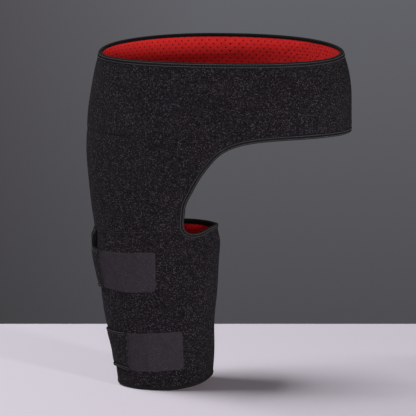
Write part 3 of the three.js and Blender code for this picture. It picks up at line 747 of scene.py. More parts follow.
def cloth_sheet(name, angle, drop, edge, thickness, out, material, rounding, flat_place,
                covered=None, wraps=False, **ties):
    """Sheet over grids of angle and drop. edge is each point's distance from the raw edge: there the
    faces meet, and they part along a quarter circle to the full thickness at the rounding."""
    opening = np.clip(edge / rounding, 0, 1)
    part = thickness / 2 * np.sqrt(1 - (1 - opening) ** 2)
    middle = out - thickness / 2
    if covered is None:
        covered = np.ones((angle.shape[0] - (0 if wraps else 1), angle.shape[1] - 1), bool)
    used, free, outer, inner, (i, j) = sheet_faces(covered, edge <= 1e-6, wraps)
    outer_points = cloth_point(angle, drop, middle + part)
    inner_points = cloth_point(angle, drop, middle - part)
    points = np.vstack([outer_points[used], inner_points[free]])
    place = np.stack([flat_place[0][i, j], flat_place[1][i, j]], axis=-1)
    return add_piece(name, points, [outer, inner], [material], [place, place[:, ::-1]], **ties)


print("points across a rounded edge:", np.round(spaced(0, 20, 5, ROUNDING), 2).tolist(), "mm")

# %% [markdown]
# ## Waist band and thigh cuff
# Both are rings that close round the body, between two edges. A cylinder bent into shape would need its
# seam hidden; a grid that meets itself has none. It is close enough to carry the slack and the seams.

# %% Waist band and thigh cuff
BAND_COLUMNS = 300
BAND_STEP = 2.6
CUFF_COLUMNS = 220
CUFF_ROW_STEP = 2.2


def ring_grid(columns, top, bottom, step, rounding):
    """Angles and drops of a ring between two edges given as functions of the angle, with the distance
    to the nearer edge and the unrolled place."""
    around = np.linspace(0, 360, columns, endpoint=False)
    length = float(np.mean(bottom(around) - top(around)))
    shares = spaced(0, length, step, rounding) / length
    drop = top(around)[:, None] + (bottom(around) - top(around))[:, None] * shares
    angle = np.broadcast_to(around[:, None], drop.shape)
    reach = (bottom(around) - top(around))[:, None]
    edge = np.minimum(shares * reach, (1 - shares) * reach)
    edge[:, [0, -1]] = 0
    wide = np.vstack([angle, np.full(drop.shape[1], 360.0)]) * girth_step(np.mean(drop))
    return angle, drop, edge, (wide, np.vstack([drop, drop[:1]]))


def level(drop):
    """Function of the angle that is the same drop all round."""
    return lambda angle: np.full(np.shape(angle), float(drop))


def ring_cloth(name, columns, top, bottom, step, node):
    """Ring of loop pile between two edges given as functions of the angle."""
    angle, drop, edge, flat = ring_grid(columns, top, bottom, step, ROUNDING)
    return cloth_sheet(
        name, angle, drop, edge, SHELL, 0, loop_pile, ROUNDING, flat,
        wraps=True, nodes=[node], slot="outer_loop",
    )


BAND_TOP, BAND_BOTTOM = TAPE_INSET, BAND_HEIGHT - TAPE_INSET
band = ring_cloth(
    "waist_band_cloth", BAND_COLUMNS, level(BAND_TOP), level(BAND_BOTTOM), BAND_STEP, "waist_band"
)
KNEE_EDGE = KNEE_RIM - TAPE_INSET
cuff = ring_cloth(
    "thigh_cuff_cloth", CUFF_COLUMNS, cuff_raw_top, level(KNEE_EDGE), CUFF_ROW_STEP, "thigh_cuff"
)

# %% [markdown]
# ## Hip panel
# The panel hangs between the two seams and runs from one edge of the cut-out to the other. Trimming a
# ring with a Boolean would leave ragged cells along the curve, so its columns run from edge to edge and
# lie along both of them.

# %% Hip panel
SEAM_GAP = -0.25
PANEL_COLUMNS = 150
PANEL_ROW_STEP = 2.0
PANEL_TOP = BAND_BOTTOM + SEAM_GAP
PANEL_BOTTOM = CUFF_TOP + TAPE_INSET - SEAM_GAP
# Millimetres from the band's seam and from the cuff's to the rows nearest to them
near_band_rows = np.array([0, 0.15, 0.5, 1.0, 1.6, 2.4, 3.4, 4.8])
near_cuff_rows = np.array([4.5, 3.0, 1.8, 1.0, 0.5, 0.15, 0])


def panel_grid(columns, rounding):
    """Grid between the raw back and front edges, closer in rows where the edges run nearly level."""
    near_band = PANEL_TOP + near_band_rows
    near_cuff = PANEL_BOTTOM - near_cuff_rows
    between = np.arange(near_band[-1] + PANEL_ROW_STEP, near_cuff[0] - PANEL_ROW_STEP / 2, PANEL_ROW_STEP)
    drops = np.concatenate([near_band, between, near_cuff])
    front = front_angle(drops)
    back = to_back(front) - 360
    width = (front - back) * girth_step(drops)
    first = rounding * EDGE_SHARES / np.mean(width)
    shares = np.concatenate([first, np.linspace(0, 1, columns + 1)[1:-1], 1 - first[::-1]])
    angle = back + shares[:, None] * (front - back)
    drop = np.broadcast_to(drops, angle.shape)
    to_side = np.minimum(shares, 1 - shares)[:, None] * width
    edge = np.minimum(to_side, np.minimum(drops - PANEL_TOP, PANEL_BOTTOM - drops))
    edge[[0, -1]] = 0
    return angle, drop, edge, ((angle - 180) * girth_step(drop), drop)


hip_grid = panel_grid(PANEL_COLUMNS, ROUNDING)
hip = cloth_sheet(
    "hip_panel_cloth", *hip_grid[:3], SHELL, 0, loop_pile, ROUNDING, hip_grid[3],
    nodes=["hip_panel"], slot="outer_loop",
)

# %% [markdown]
# ## Perforated lining
# The red lining breathes through small punched holes in staggered rows. A picture of dots would be
# flat, so the inner face is laid out as bricks, each with one real hole: eight points round the brick,
# eight round the hole and eight round its floor. Rows are set over by half a brick, so a brick's
# corners always meet the middles of the bricks above and below.

# %% Perforated sheet
LINING = 1.1
LINING_OUT = -SHELL - 0.25
HOLE_RADIUS = 0.62
HOLE_DEPTH = 0.75
HOLE_PITCH = 7.7
HOLE_ROW = 3.9
hole_turns = np.radians(np.array([225, 270, 315, 0, 45, 90, 135, 180]))
# Each ring of points in a hole: share of its radius, and depth into the lining
hole_rings = ((1.35, 0.0), (1.0, 0.12), (0.8, HOLE_DEPTH))


def brick_rings(corner, side, columns, row_count, wraps):
    """First half column and row of each whole brick, and the eight corner numbers round it. Every other
    row starts half a brick further on."""
    lines = len(corner)
    number, row = np.meshgrid(np.arange(columns), np.arange(row_count), indexing="ij")
    number, row = number.ravel(), row.ravel()
    start = 2 * number + row % 2
    whole = (start + 2 <= 2 * columns) | wraps
    start, row = start[whole], row[whole]
    left, mid, right = start % lines, (start + 1) % lines, (start + 2) % lines
    ring = np.stack([
        corner[left, row], corner[mid, row], corner[right, row], side[right, row],
        corner[right, row + 1], corner[mid, row + 1], corner[left, row + 1], side[left, row],
    ], axis=1)
    return start, row, ring


def punched_holes(place, centre_u, centre_v, cell, first):
    """Points of the three rings of every hole, circles of a share of the radius at their own depth, and
    their corner numbers from the first on."""
    points, numbers = [], []
    for share, depth in hole_rings:
        radius = HOLE_RADIUS * share
        u = centre_u[:, None] + np.cos(hole_turns) * radius / cell[0]
        v = centre_v[:, None] + np.sin(hole_turns) * radius / cell[1]
        points.append(place(u, v, LINING_OUT - LINING + depth).reshape(-1, 3))
        numbers.append(first + np.arange(u.size).reshape(u.shape))
        first += u.size
    return points, numbers


print("points in each hole:", len(hole_rings) * len(hole_turns))

# %% [markdown]
# ## Cut ends of the lining
# Where the lining is cut across its staggered rows, every other row ends in half a brick. Those, and the
# rims that close the sheet's thickness there, are the only faces that differ from row to row.

# %% Faces between rings and at cut ends
def strips_between(a, b):
    """Quads between two rings of eight corner numbers each."""
    following = np.roll(np.arange(8), -1)
    return np.stack([a, a[:, following], b[:, following], b], axis=-1).reshape(-1, 4)


def lining_ends(corner, side, halves, row_count):
    """Faces of a lining that doesn't wrap: half bricks at the ends of the staggered rows, and rims."""
    odd = np.arange(1, row_count, 2)
    every = np.arange(row_count)
    half_left = [
        corner[0, odd], corner[1, odd], side[1, odd],
        corner[1, odd + 1], corner[0, odd + 1], side[0, odd],
    ]
    half_right = [
        corner[halves - 1, odd], corner[halves, odd], side[halves, odd],
        corner[halves, odd + 1], corner[halves - 1, odd + 1], side[halves - 1, odd],
    ]
    rims = []
    for edge, flip in ((0, -1), (halves, 1)):
        rim = np.stack([
            corner[edge, every], corner[edge, every] + corner.size, corner[edge, every + 1] + corner.size,
            corner[edge, every + 1], side[edge, every],
        ], axis=1)
        rims.append(rim[:, ::flip])
    return [np.stack(half_left, axis=1), np.stack(half_right, axis=1), *rims]


print("sides of a brick:", len(hole_turns))

# %% [markdown]
# ## Closing the lining
# The holes are only the inner face. The sheet also has a plain outer face and rims between the two.
# Solidify would wall every hole twice, so these few faces are written out, and the whole sheet is one
# closed mesh.

# %% Closed perforated sheet
def perforated_lining(name, place, columns, row_count, cell, flat_cell, wraps, **ties):
    """Closed sheet whose inner face is bricks with round holes. place(u, v, out) gives a point, u in
    bricks across and v in rows down; half columns carry the staggered corners. cell is a brick's width
    and height in millimetres, and flat_cell the same on the unrolled cloth."""
    halves = 2 * columns
    across = np.arange(halves if wraps else halves + 1)
    corner_u, corner_v = np.meshgrid(across / 2, np.arange(row_count + 1), indexing="ij")
    side_u, side_v = np.meshgrid(across / 2, np.arange(row_count) + 0.5, indexing="ij")
    inner = place(corner_u, corner_v, LINING_OUT - LINING).reshape(-1, 3)
    outer = place(corner_u, corner_v, LINING_OUT).reshape(-1, 3)
    sides = place(side_u, side_v, LINING_OUT - LINING).reshape(-1, 3)
    corner = np.arange(corner_u.size).reshape(corner_u.shape)
    side = 2 * corner.size + np.arange(side_u.size).reshape(side_u.shape)
    start, row, ring = brick_rings(corner, side, columns, row_count, wraps)
    centre_u, centre_v = (start + 1) / 2, row + 0.5
    holes, rings = punched_holes(place, centre_u, centre_v, cell, 2 * corner.size + side.size)
    lip, wall, floor = rings
    i, j = grid_corners(halves, row_count)
    outer_quads = corner.size + corner[i % len(across), j]
    punched = [strips_between(a, b) for a, b in ((ring, lip), (lip, wall), (wall, floor))]
    faces = [*punched, floor, outer_quads]
    kinds = [0, 1, 1, 1, 0]
    k = np.arange(halves)
    for edge_row, flip in ((0, 1), (row_count, -1)):
        a, b = corner[k, edge_row], corner[(k + 1) % len(across), edge_row]
        faces.append(np.stack([b, a, a + corner.size, b + corner.size], axis=1)[:, ::flip])
        kinds.append(0)
    if not wraps:
        faces.extend(lining_ends(corner, side, halves, row_count))
        kinds.extend([0] * 4)
    points = np.vstack([inner, outer, sides, *holes])
    flat = []
    for size, at_corner, at_side, at_hole in zip(
        flat_cell, (corner_u, corner_v), (side_u, side_v), (centre_u, centre_v)
    ):
        in_holes = np.tile(np.repeat(at_hole, 8), 3)
        flat.append(size * np.concatenate([at_corner.ravel(), at_corner.ravel(), at_side.ravel(), in_holes]))
    flat = np.stack(flat, axis=1)
    return add_piece(name, points, faces, [red_foam, hole_shade], [flat[f] for f in faces], kinds, **ties)


print("a brick of the lining:", HOLE_PITCH, "by", HOLE_ROW, "mm")

# %% [markdown]
# ## The three linings
# On the real wrap the lining is glued to the inside of each panel and cut to the same edges. So each
# lining is a sheet of its own, a quarter of a millimetre off its cloth so that no two faces meet. The
# band and the cuff are rings, and the hip lining runs from edge to edge.

# %% Linings of the band, the cuff and the hip
BAND_LINING_GIRTH = 850
CUFF_LINING_GIRTH = 395
HIP_LINING_COLUMNS = 44
HIP_CELL_SHARE = 0.9


def ring_lining(name, top, bottom, girth, node):
    """Perforated ring between two edges given as functions of the angle."""
    columns = int(round(girth / HOLE_PITCH))
    height = float(np.mean(bottom(np.arange(360.0)) - top(np.arange(360.0))))
    row_count = int(round(height / HOLE_ROW))
    cell = (girth / columns, height / row_count)

    def place(u, v, out):
        """Full turn shared by the columns, and the reach from edge to edge by the rows."""
        angle = 360 * u / columns
        drop = top(angle) + (bottom(angle) - top(angle)) * v / row_count
        return cloth_point(angle, drop, out)

    return perforated_lining(
        name, place, columns, row_count, cell, cell, True, nodes=[node], slot="red_lining"
    )


def cuff_lining_top(angle):
    """The cuff's raw top, for angles past a full turn too."""
    return cuff_raw_top(np.mod(angle, 360))


band_lining = ring_lining(
    "waist_band_lining", level(BAND_TOP), level(BAND_BOTTOM), BAND_LINING_GIRTH, "waist_lining"
)
cuff_lining = ring_lining(
    "thigh_cuff_lining", cuff_lining_top, level(KNEE_EDGE), CUFF_LINING_GIRTH, "thigh_lining"
)
hip_rows = int(round(HIP_HEIGHT / HOLE_ROW))


def hip_place(u, v, out):
    """Point of the hip lining: v runs down between the seams and u from the back edge to the front."""
    drop = PANEL_TOP + (PANEL_BOTTOM - PANEL_TOP) * v / hip_rows
    front = front_angle(drop)
    back = to_back(front) - 360
    return cloth_point(back + (front - back) * u / HIP_LINING_COLUMNS, drop, out)


hip_lining = perforated_lining(
    "hip_panel_lining", hip_place, HIP_LINING_COLUMNS, hip_rows, (HOLE_PITCH * HIP_CELL_SHARE, HOLE_ROW),
    (HOLE_PITCH, HOLE_ROW), False, nodes=["hip_lining"], slot="red_lining",
)

# %% [markdown]
# ## Edge tape
# Every edge is closed by a strip of knitted tape folded over it and sewn through. The fold is a
# profile carried along the edge: it swells between the crest and the stitch line, where the thread
# pulls it down, and its crest is a half circle round the raw edge.

# %% Profile of the folded tape
TAPE = 0.6
CREST = 1.5
CREST_POINTS = 9
# Share of the tape's width from the crest, and height over the cloth, from the free edge inwards
tape_leg = np.array([
    (1.0, 0.1), (1.0, 0.4), (0.96, 0.58), (0.88, 0.6), (0.8, 0.42), (0.72, 0.58), (0.56, 0.76), (0.42, 0.7),
])
WALL_INNER = LINING_OUT - LINING


def tape_section(width, outer, inner, inner_width):
    """Rows of (into the cloth, out) round the folded tape: outer leg, crest, inner leg, and back
    inside the fold."""
    middle, reach = (outer + inner) / 2, (outer - inner) / 2 + TAPE
    turn = np.radians(np.linspace(80, -80, CREST_POINTS))
    crest = np.stack([CREST - CREST * np.cos(turn), middle + reach * np.sin(turn)], axis=1)
    outer_leg = np.stack([tape_leg[:, 0] * width, outer + tape_leg[:, 1]], axis=1)
    inner_leg = np.stack([tape_leg[::-1, 0] * inner_width, inner - tape_leg[::-1, 1]], axis=1)
    inside = np.array([
        (inner_width * 0.95, inner - 0.02), (1.0, inner), (1.0, outer), (width * 0.95, outer + 0.02),
    ])
    return np.vstack([outer_leg, crest, inner_leg, inside])


print("wall under the tape:", round(-WALL_INNER, 2), "mm thick")

# %% [markdown]
# ## Tape along an edge
# A curve with a bevel profile would twist where the edge bends over the hip. Here each point of the
# profile is moved into the cloth and out from it at every point of the edge, so the tape lies flat on
# the cloth everywhere.

# %% Tape along an edge
# Unrolled millimetres from one point of the tape's section to the next
SECTION_STEP = 0.8
# Faces of the section past this point, from the crest's last turn on, lie inside the wrap
INSIDE_FROM = len(tape_leg) + CREST_POINTS - 3


def no_lift(angle, drop):
    """Tape that lies on the body itself."""
    return 0.0


def fold_tape(
    name, line, closed, side, width, outer, inner, node,
    lift=no_lift, inner_width=None, inside_material=None,
):
    """Tape folded over an edge line of (angle, drop) rows; open tapes have their ends closed. A lift
    raises the outer leg and leaves the inner one where it is."""
    section = tape_section(width, outer, inner, inner_width or width)
    outer_share = np.clip((section[:, 1] - inner) / (outer - inner), 0, 1)
    steps = steps_into_cloth(line, closed, side)
    angle = line[:, :1] + steps[:, :1] * section[:, 0]
    drop = line[:, 1:] + steps[:, 1:] * section[:, 0]
    points = cloth_point(angle, drop, section[:, 1] + outer_share * lift(angle, drop))
    count, round_it = points.shape[:2]
    i, j = grid_corners(count if closed else count - 1, round_it)
    quads = (i % count) * round_it + j % round_it
    along = np.arange(count + 1) * EDGE_STEP
    across = np.arange(round_it + 1) * SECTION_STEP
    flat = np.stack([along[i], across[j]], axis=-1)
    inside = j[:, 0] > INSIDE_FROM
    faces, places, kinds = [quads[~inside], quads[inside]], [flat[~inside], flat[inside]], [0, 1]
    if not closed:
        for end, flip in ((0, -1), (count - 1, 1)):
            cap = end * round_it + np.arange(round_it)[None, ::flip]
            faces.append(cap)
            places.append(np.zeros((1, round_it, 2)))
            kinds.append(1)
    # Faces inside the wrap take the darker copy of the tape, painted shade, unless another material is
    # given.
    materials = [edge_tape, inside_material or shaded_inner_tape]
    return add_piece(name, points, faces, materials, places, kinds, nodes=[node], slot="edge_tape")


print("points round the tape's section:", len(tape_section(6, 0, WALL_INNER, 6)))

# %% [markdown]
# ## The three long tapes
# One tape closes the waist rim, one runs all round the leg's cut-out and the cuff's rim, and one closes
# the knee end. At the back of the waist the photograph shows little of the inner leg, so it is narrower.

# %% Tapes of the waist, the leg and the knee
TAPE_WIDTH = 6.5
WAIST_INNER_WIDTH = 4.2
KNEE_TAPE_WIDTH = 4.0


def level_edge(columns, drop):
    """Closed level edge at a drop."""
    return np.stack([np.linspace(0, 360, columns, endpoint=False), np.full(columns, float(drop))], axis=1)


waist_edge = level_edge(500, 0)
knee_edge = level_edge(240, KNEE_RIM)
waist_tape = fold_tape(
    "waist_tape", waist_edge, True, -1, TAPE_WIDTH, 0, WALL_INNER, "waist_binding",
    inner_width=WAIST_INNER_WIDTH,
)
leg_tape = fold_tape("leg_tape", leg_edge, True, -1, TAPE_WIDTH, 0, WALL_INNER, "leg_binding")
knee_tape = fold_tape("knee_tape", knee_edge, True, 1, KNEE_TAPE_WIDTH, 0, WALL_INNER, "knee_binding")

# %% [markdown]
# ## Stitches
# The tape is held by a cover stitch: two rows of light needle thread with a dark looper thread that runs
# in a zigzag between them. At this size a painted line would look flat, so each stitch is a short thin
# tube whose ends dive into the cloth. All stitches of one edge share a mesh, made from whole arrays.

# %% Stitches as thin tubes
THREAD_RADIUS = 0.27
THREAD_ARCH = 0.22
STITCH_PITCH = 2.7
thread_rings = np.array([0.0, 0.12, 0.5, 0.88, 1.0])
thread_rise = np.array([-0.2, 0.7, 1.0, 0.7, -0.2])
thread_turns = np.radians([45, 135, 225, 315])
# Unrolled millimetres from ring to ring and from side to side
THREAD_FLAT = (0.6, 0.4)


def thread_piece(name, starts, ends, material, slot="edge_tape"):
    """Tubes from starts to ends, both rows of (angle, drop, out). A ring of the tube stands on the
    surface's normal and on its cross product with the stitch's own direction."""
    line = starts[:, None] + (ends - starts)[:, None] * thread_rings[None, :, None]
    angle, drop, out = np.moveaxis(line, -1, 0)
    out = out + THREAD_ARCH * thread_rise
    middle = cloth_point(angle, drop, out)
    up = cloth_point(angle, drop, out + 1) - middle
    up /= np.linalg.norm(up, axis=-1, keepdims=True)
    side = np.cross(np.gradient(middle, axis=1), up)
    side /= np.linalg.norm(side, axis=-1, keepdims=True)
    beside = np.cos(thread_turns)[:, None] * side[:, :, None]
    above = np.sin(thread_turns)[:, None] * up[:, :, None]
    points = middle[:, :, None] + THREAD_RADIUS * (beside + above)
    count, rings, sides = points.shape[:3]
    i, j = grid_corners(rings - 1, sides)
    first = np.arange(count)[:, None, None] * rings * sides
    quads = (first + i * sides + j % sides).reshape(-1, 4)
    start_caps = first[:, 0] + np.arange(sides)[::-1]
    end_caps = first[:, 0] + (rings - 1) * sides + np.arange(sides)
    caps = np.concatenate([start_caps, end_caps])
    one_thread = np.stack([i * THREAD_FLAT[0], j * THREAD_FLAT[1]], axis=-1)
    quad_place = np.tile(one_thread, (count, 1, 1)).reshape(-1, 4, 2)
    places = [quad_place, np.zeros((len(caps), sides, 2))]
    return add_piece(name, points, [quads, caps], [material], places, slot=slot)


print("faces in a stitch:", (len(thread_rings) - 1) * len(thread_turns) + 2)

# %% [markdown]
# ## Where the stitches lie
# A cover stitch runs at fixed shares of the tape's width. The edge is measured off in ticks, and each
# tick steps into the cloth, so the rows keep their distance round every bend. Stitches drawn as a
# texture would stretch there.

# %% Rows of stitches on a tape
# Shares of the tape's width at which its two needle rows run, and how much of the pitch a stitch covers
NEEDLE_SHARES = (0.3, 0.8)
NEEDLE_LENGTH = 0.82


def edge_ticks(line, closed, side, pitch):
    """Points every pitch along an edge of (angle, drop), with the step into the cloth at each."""
    if closed and np.ptp(line[:, 1]) < 1e-6:
        girth = 360 * float(girth_step(line[0, 1]))
        ticks = level_edge(int(round(girth / pitch)), line[0, 1])
    else:
        ticks = resample(line, pitch, closed)
    return ticks, steps_into_cloth(ticks, closed, side)


def to_next(rows):
    """The same rows one further on round the edge, counted on without a jump at the full turn."""
    change = np.roll(rows, -1, axis=0) - rows
    change[:, 0] = np.mod(change[:, 0] + 180, 360) - 180
    return rows + change


def tape_height(share):
    """Height of the tape's outer leg over the cloth at a share of its width."""
    return np.interp(share, tape_leg[::-1, 0], tape_leg[::-1, 1])


def row_on_tape(ticks, steps, width, share, outer, lift):
    """Rows of (angle, drop, out) on the tape's outer leg, at a share of its width."""
    place = ticks + steps * width * share
    level_out = np.full(len(place), outer + tape_height(share)) + lift(place[:, 0], place[:, 1])
    return np.column_stack([place, level_out])


print("height of the needle rows:", [round(float(tape_height(share)), 2) for share in NEEDLE_SHARES], "mm")

# %% [markdown]
# ## Cover stitch of the long tapes
# The needle rows are light and straight, the looper thread between them dark. Each is one mesh, so the
# waist and the leg take four objects in all.

# %% Cover stitch
def cover_stitch(name, line, closed, side, width, outer, lift=no_lift):
    """Two needle rows and the zigzag between them: ticks come at half the pitch, the even ones on the
    upper row and the odd ones on the lower."""
    ticks, steps = edge_ticks(line, closed, side, STITCH_PITCH / 2)
    last = len(ticks) if closed else len(ticks) - 2
    last -= last % 2
    upper, lower = (row_on_tape(ticks, steps, width, share, outer, lift) for share in NEEDLE_SHARES)
    is_even = (np.arange(len(ticks)) % 2 == 0)[:, None]
    zigzag = np.where(is_even, upper, lower)
    needle_starts, needle_ends = [], []
    for row in (upper, lower):
        onward = to_next(to_next(row)) if closed else np.roll(row, -2, axis=0)
        needle_starts.append(row[:last:2])
        needle_ends.append((row + NEEDLE_LENGTH * (onward - row))[:last:2])
    needles = thread_piece(name + "_needle_rows", np.vstack(needle_starts), np.vstack(needle_ends), thread)
    onward = to_next(zigzag) if closed else np.roll(zigzag, -1, axis=0)
    looper = thread_piece(name + "_zigzag", zigzag[:last], onward[:last], dark_thread)
    return [needles, looper]


waist_stitches = cover_stitch("waist", waist_edge, True, -1, TAPE_WIDTH, 0)
leg_stitches = cover_stitch("leg", leg_edge, True, -1, TAPE_WIDTH, 0)

# %% [markdown]
# ## Seam of the cuff
# The hip panel and the cuff are sewn together with one row that hardly shows in the pile. It is the same
# thin tube along a level line, in a darker thread, a little above the seam.

# %% Stitches of the seam
SEAM_ROW = 2.6
SEAM_STITCH_LENGTH = 0.6
# Degrees at either end that the row stops short of the cut-out
SEAM_MARGIN = 6


def seam_stitch(name, drop, first, last):
    """One needle row along a level seam, from one angle to another."""
    count = int(round((last - first) * float(girth_step(drop)) / STITCH_PITCH))
    angles = np.linspace(first, last, count + 1)
    starts = np.column_stack([angles[:-1], np.full(count, drop), np.zeros(count)])
    ends = starts.copy()
    ends[:, 0] += SEAM_STITCH_LENGTH * np.diff(angles)
    return thread_piece(name, starts, ends, seam_thread, slot="outer_loop")


cuff_seam_row = CUFF_TOP - SEAM_ROW
seam_front = float(front_angle(cuff_seam_row))
seam_back = to_back(seam_front) - 360
cuff_seam = seam_stitch(
    "cuff_seam_stitches", cuff_seam_row, seam_back + SEAM_MARGIN, seam_front - SEAM_MARGIN
)

# %% [markdown]
# ## Closing flap
# The flap is sewn to the back of the cuff, wraps round the outer thigh and ends in two tongues that
# carry the hook tabs. Everything about it is measured in degrees round the cuff and in millimetres down
# from the waist rim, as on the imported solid.

# %% Sizes of the flap
FLAP = 2.4
FLAP_OUTER = 3.1
FLAP_BACK = 104.0
FLAP_CORNER = 201.0
FLAP_WAIST = 172.0
FLAP_TOP = CUFF_TOP - 3
UPPER_TAB_HEIGHT = 52.0
LOWER_TAB_HEIGHT = 49.8
TAB_MARGIN = 1.0
UPPER_TOP, UPPER_END = CUFF_TOP + 22.5, 212.6
LOWER_TOP, LOWER_END = CUFF_TOP + 128.7, 234.8
UPPER_BOTTOM = UPPER_TOP + UPPER_TAB_HEIGHT + 2 * TAB_MARGIN
LOWER_BOTTOM = LOWER_TOP + LOWER_TAB_HEIGHT + 2 * TAB_MARGIN
# Millimetres round the cuff for one degree, at its mean radius
CUFF_MEAN_RADIUS = 63.5
CUFF_STEP = np.pi * CUFF_MEAN_RADIUS / 180
print("flap:", round(LOWER_BOTTOM - FLAP_TOP, 1), "mm tall, one degree is", round(CUFF_STEP, 2), "mm")

# %% [markdown]
# ## How the flap lies
# Once it is pulled tight, the flap's upper corner rolls outwards, the edges of its tongues press into the
# cuff, and the tongues climb and lean a little. A simulation or a sculpt could do that, but the tapes
# and stitches have to move with it, so it is two functions that every piece of the flap uses.

# %% Lift and lie of the flap
FLAP_FLARE = 4.5
FLARE_FADE = 1.5
ROLL_REACH = 8.5
EDGE_PRESS = 1.6
EDGE_REACH = 6.0
PRESS_START = 150.0


def smooth_step(value):
    """Cubic from 0 to 1 with level ends."""
    t = np.clip(value, 0, 1)
    return t * t * (3 - 2 * t)


def flap_lift(angle, drop):
    """How far the flap's outer face swells up near its upper front corner, where it rolls, and is
    pressed down along the edges of its tongues."""
    towards_corner = np.clip((angle - FLAP_WAIST) / (FLAP_CORNER - FLAP_WAIST), 0, 1)
    below_top = np.clip((drop - FLAP_TOP) / (UPPER_BOTTOM - FLAP_TOP), 0, 1)
    rolled = smooth_step((drop - FLAP_TOP) / ROLL_REACH)
    lift = FLAP_FLARE * (1 - below_top) ** FLARE_FADE * rolled * towards_corner
    pressed = smooth_step((angle - PRESS_START) / (FLAP_WAIST - PRESS_START))
    for edge_drop in (FLAP_TOP, UPPER_BOTTOM, LOWER_TOP, LOWER_BOTTOM):
        lift = lift - EDGE_PRESS * np.exp(-(((drop - edge_drop) / EDGE_REACH) ** 2)) * pressed
    return lift


# Drop below the cuff's top, how far the wrapped flap climbs there towards the outer thigh in
# millimetres, and how far its tongue's end leans forward in degrees
settle_rows = np.array([
    (-3.0, 2.8, 0.0), (22.0, 1.6, 3.1), (75.0, 4.7, -3.1), (129.0, 1.8, 2.9), (180.0, 4.0, -2.9),
])
# Angles round the cuff, and the share of the lean or the climb at each
upper_leaning = ((198, UPPER_END, 250), (0, 1, 0.3))
lower_leaning = ((212, LOWER_END, 270), (0, 1, 0))
flap_climbing = ((FLAP_WAIST, 205, 212, 247), (0, 1, 1, 0))


def settled(angle, drop):
    """Angle and drop at which the flap, its tapes and its tabs come to lie once it is pulled tight."""
    down = drop - CUFF_TOP
    climb = np.interp(down, settle_rows[:, 0], settle_rows[:, 1])
    lean = np.interp(down, settle_rows[:, 0], settle_rows[:, 2])
    near_upper = np.interp(angle, *upper_leaning)
    near_lower = np.interp(angle, *lower_leaning)
    leaning = np.where(drop < (UPPER_BOTTOM + LOWER_TOP) / 2, near_upper, near_lower)
    return angle + lean * leaning, drop - climb * np.interp(angle, *flap_climbing)


print("lift at the rolled corner:", round(float(flap_lift(FLAP_CORNER, FLAP_TOP + ROLL_REACH)), 2), "mm")

# %% [markdown]
# ## Outline of the flap
# The outline has steps where the tongues leave it. A flat plane cut by hand would lose them as soon as a
# size changed, so the corners are worked out from the sizes, and the grid has lines through each.

# %% Outline of the flap
def flap_outline(inset):
    """Corners of the flap in order, as (angle, drop), taken in from its taped edges by an inset."""
    around = inset / CUFF_STEP
    return np.array([
        (FLAP_BACK, FLAP_TOP + inset),
        (FLAP_CORNER - around, FLAP_TOP + inset),
        (FLAP_CORNER - around, UPPER_TOP + inset),
        (UPPER_END, UPPER_TOP + inset),
        (UPPER_END, UPPER_BOTTOM - inset),
        (FLAP_WAIST - around, UPPER_BOTTOM - inset),
        (FLAP_WAIST - around, LOWER_TOP + inset),
        (LOWER_END, LOWER_TOP + inset),
        (LOWER_END, LOWER_BOTTOM - inset),
        (FLAP_BACK, LOWER_BOTTOM - inset),
    ])


def stops_between(values, step, rounding):
    """Values between sorted stops, closer near each stop so that edges there are round."""
    values = np.unique(values)
    runs = [spaced(a, b, step, rounding) for a, b in zip(values[:-1], values[1:])]
    return np.unique(np.round(np.concatenate(runs), 6))


def distance_to_outline(angle, drop, outline):
    """Shortest distance in millimetres from each point to the outline's stretches."""
    place = np.stack([angle * CUFF_STEP, drop], axis=-1)
    line = outline * np.array([CUFF_STEP, 1])
    nearest = np.full(angle.shape, np.inf)
    for a, b in zip(line, np.roll(line, -1, axis=0)):
        share = np.clip(((place - a) @ (b - a)) / ((b - a) @ (b - a)), 0, 1)
        nearest = np.minimum(nearest, np.linalg.norm(place - (a + share[..., None] * (b - a)), axis=-1))
    return nearest


raw_flap = flap_outline(TAPE_INSET)
print("corners of the flap:", len(raw_flap))

# %% [markdown]
# ## The flap's cloth
# It is one grid with the cells outside the outline left out. The distance to the nearest stretch of the
# outline rounds its edges, and its upper front corner is drawn in to a quarter circle, as the real one
# is cut to take the tape.

# %% Cloth of the flap
FRONT_CORNER_RADIUS = 7.0
BACK_SEAM_REACH = 5.0
FLAP_GRID_STEP = 2.4
FLAP_ROUNDING = 1.0
SEWN_GAP = 0.1


def rounded_corner(angle, drop):
    """The flap's upper front corner drawn in: offsets (x, y) into the corner's square are scaled by
    max(x, y) / hypot(x, y), which turns the square into a quarter circle."""
    corner_angle, corner_drop = raw_flap[1]
    x = FRONT_CORNER_RADIUS + (angle - corner_angle) * CUFF_STEP
    y = FRONT_CORNER_RADIUS + corner_drop - drop
    in_corner = (x > 0) & (y > 0) & (angle <= corner_angle + 1e-6)
    scale = np.where(in_corner, np.maximum(x, y) / np.maximum(np.hypot(x, y), 1e-6), 1)
    return angle + x * (scale - 1) / CUFF_STEP, drop - y * (scale - 1)


flap_angles = stops_between(raw_flap[:, 0] * CUFF_STEP, FLAP_GRID_STEP, FLAP_ROUNDING) / CUFF_STEP
flap_drops = stops_between(raw_flap[:, 1], FLAP_GRID_STEP, FLAP_ROUNDING)
angle, drop = np.meshgrid(flap_angles, flap_drops, indexing="ij")
mid_angle = (angle[:-1, :-1] + angle[1:, 1:]) / 2
mid_drop = (drop[:-1, :-1] + drop[1:, 1:]) / 2
in_upper = (mid_drop > raw_flap[3, 1]) & (mid_drop < raw_flap[4, 1])
end_angle = np.where(mid_drop < raw_flap[3, 1], raw_flap[1, 0], raw_flap[5, 0])
end_angle = np.where(in_upper, UPPER_END, np.where(mid_drop > raw_flap[6, 1], LOWER_END, end_angle))
flap_edge = distance_to_outline(angle, drop, raw_flap)
flap_edge[flap_edge < 1e-4] = 0
sewn_down = np.clip((angle - FLAP_BACK) * CUFF_STEP / BACK_SEAM_REACH, 0, 1) ** 0.5
lift = flap_lift(angle, drop)
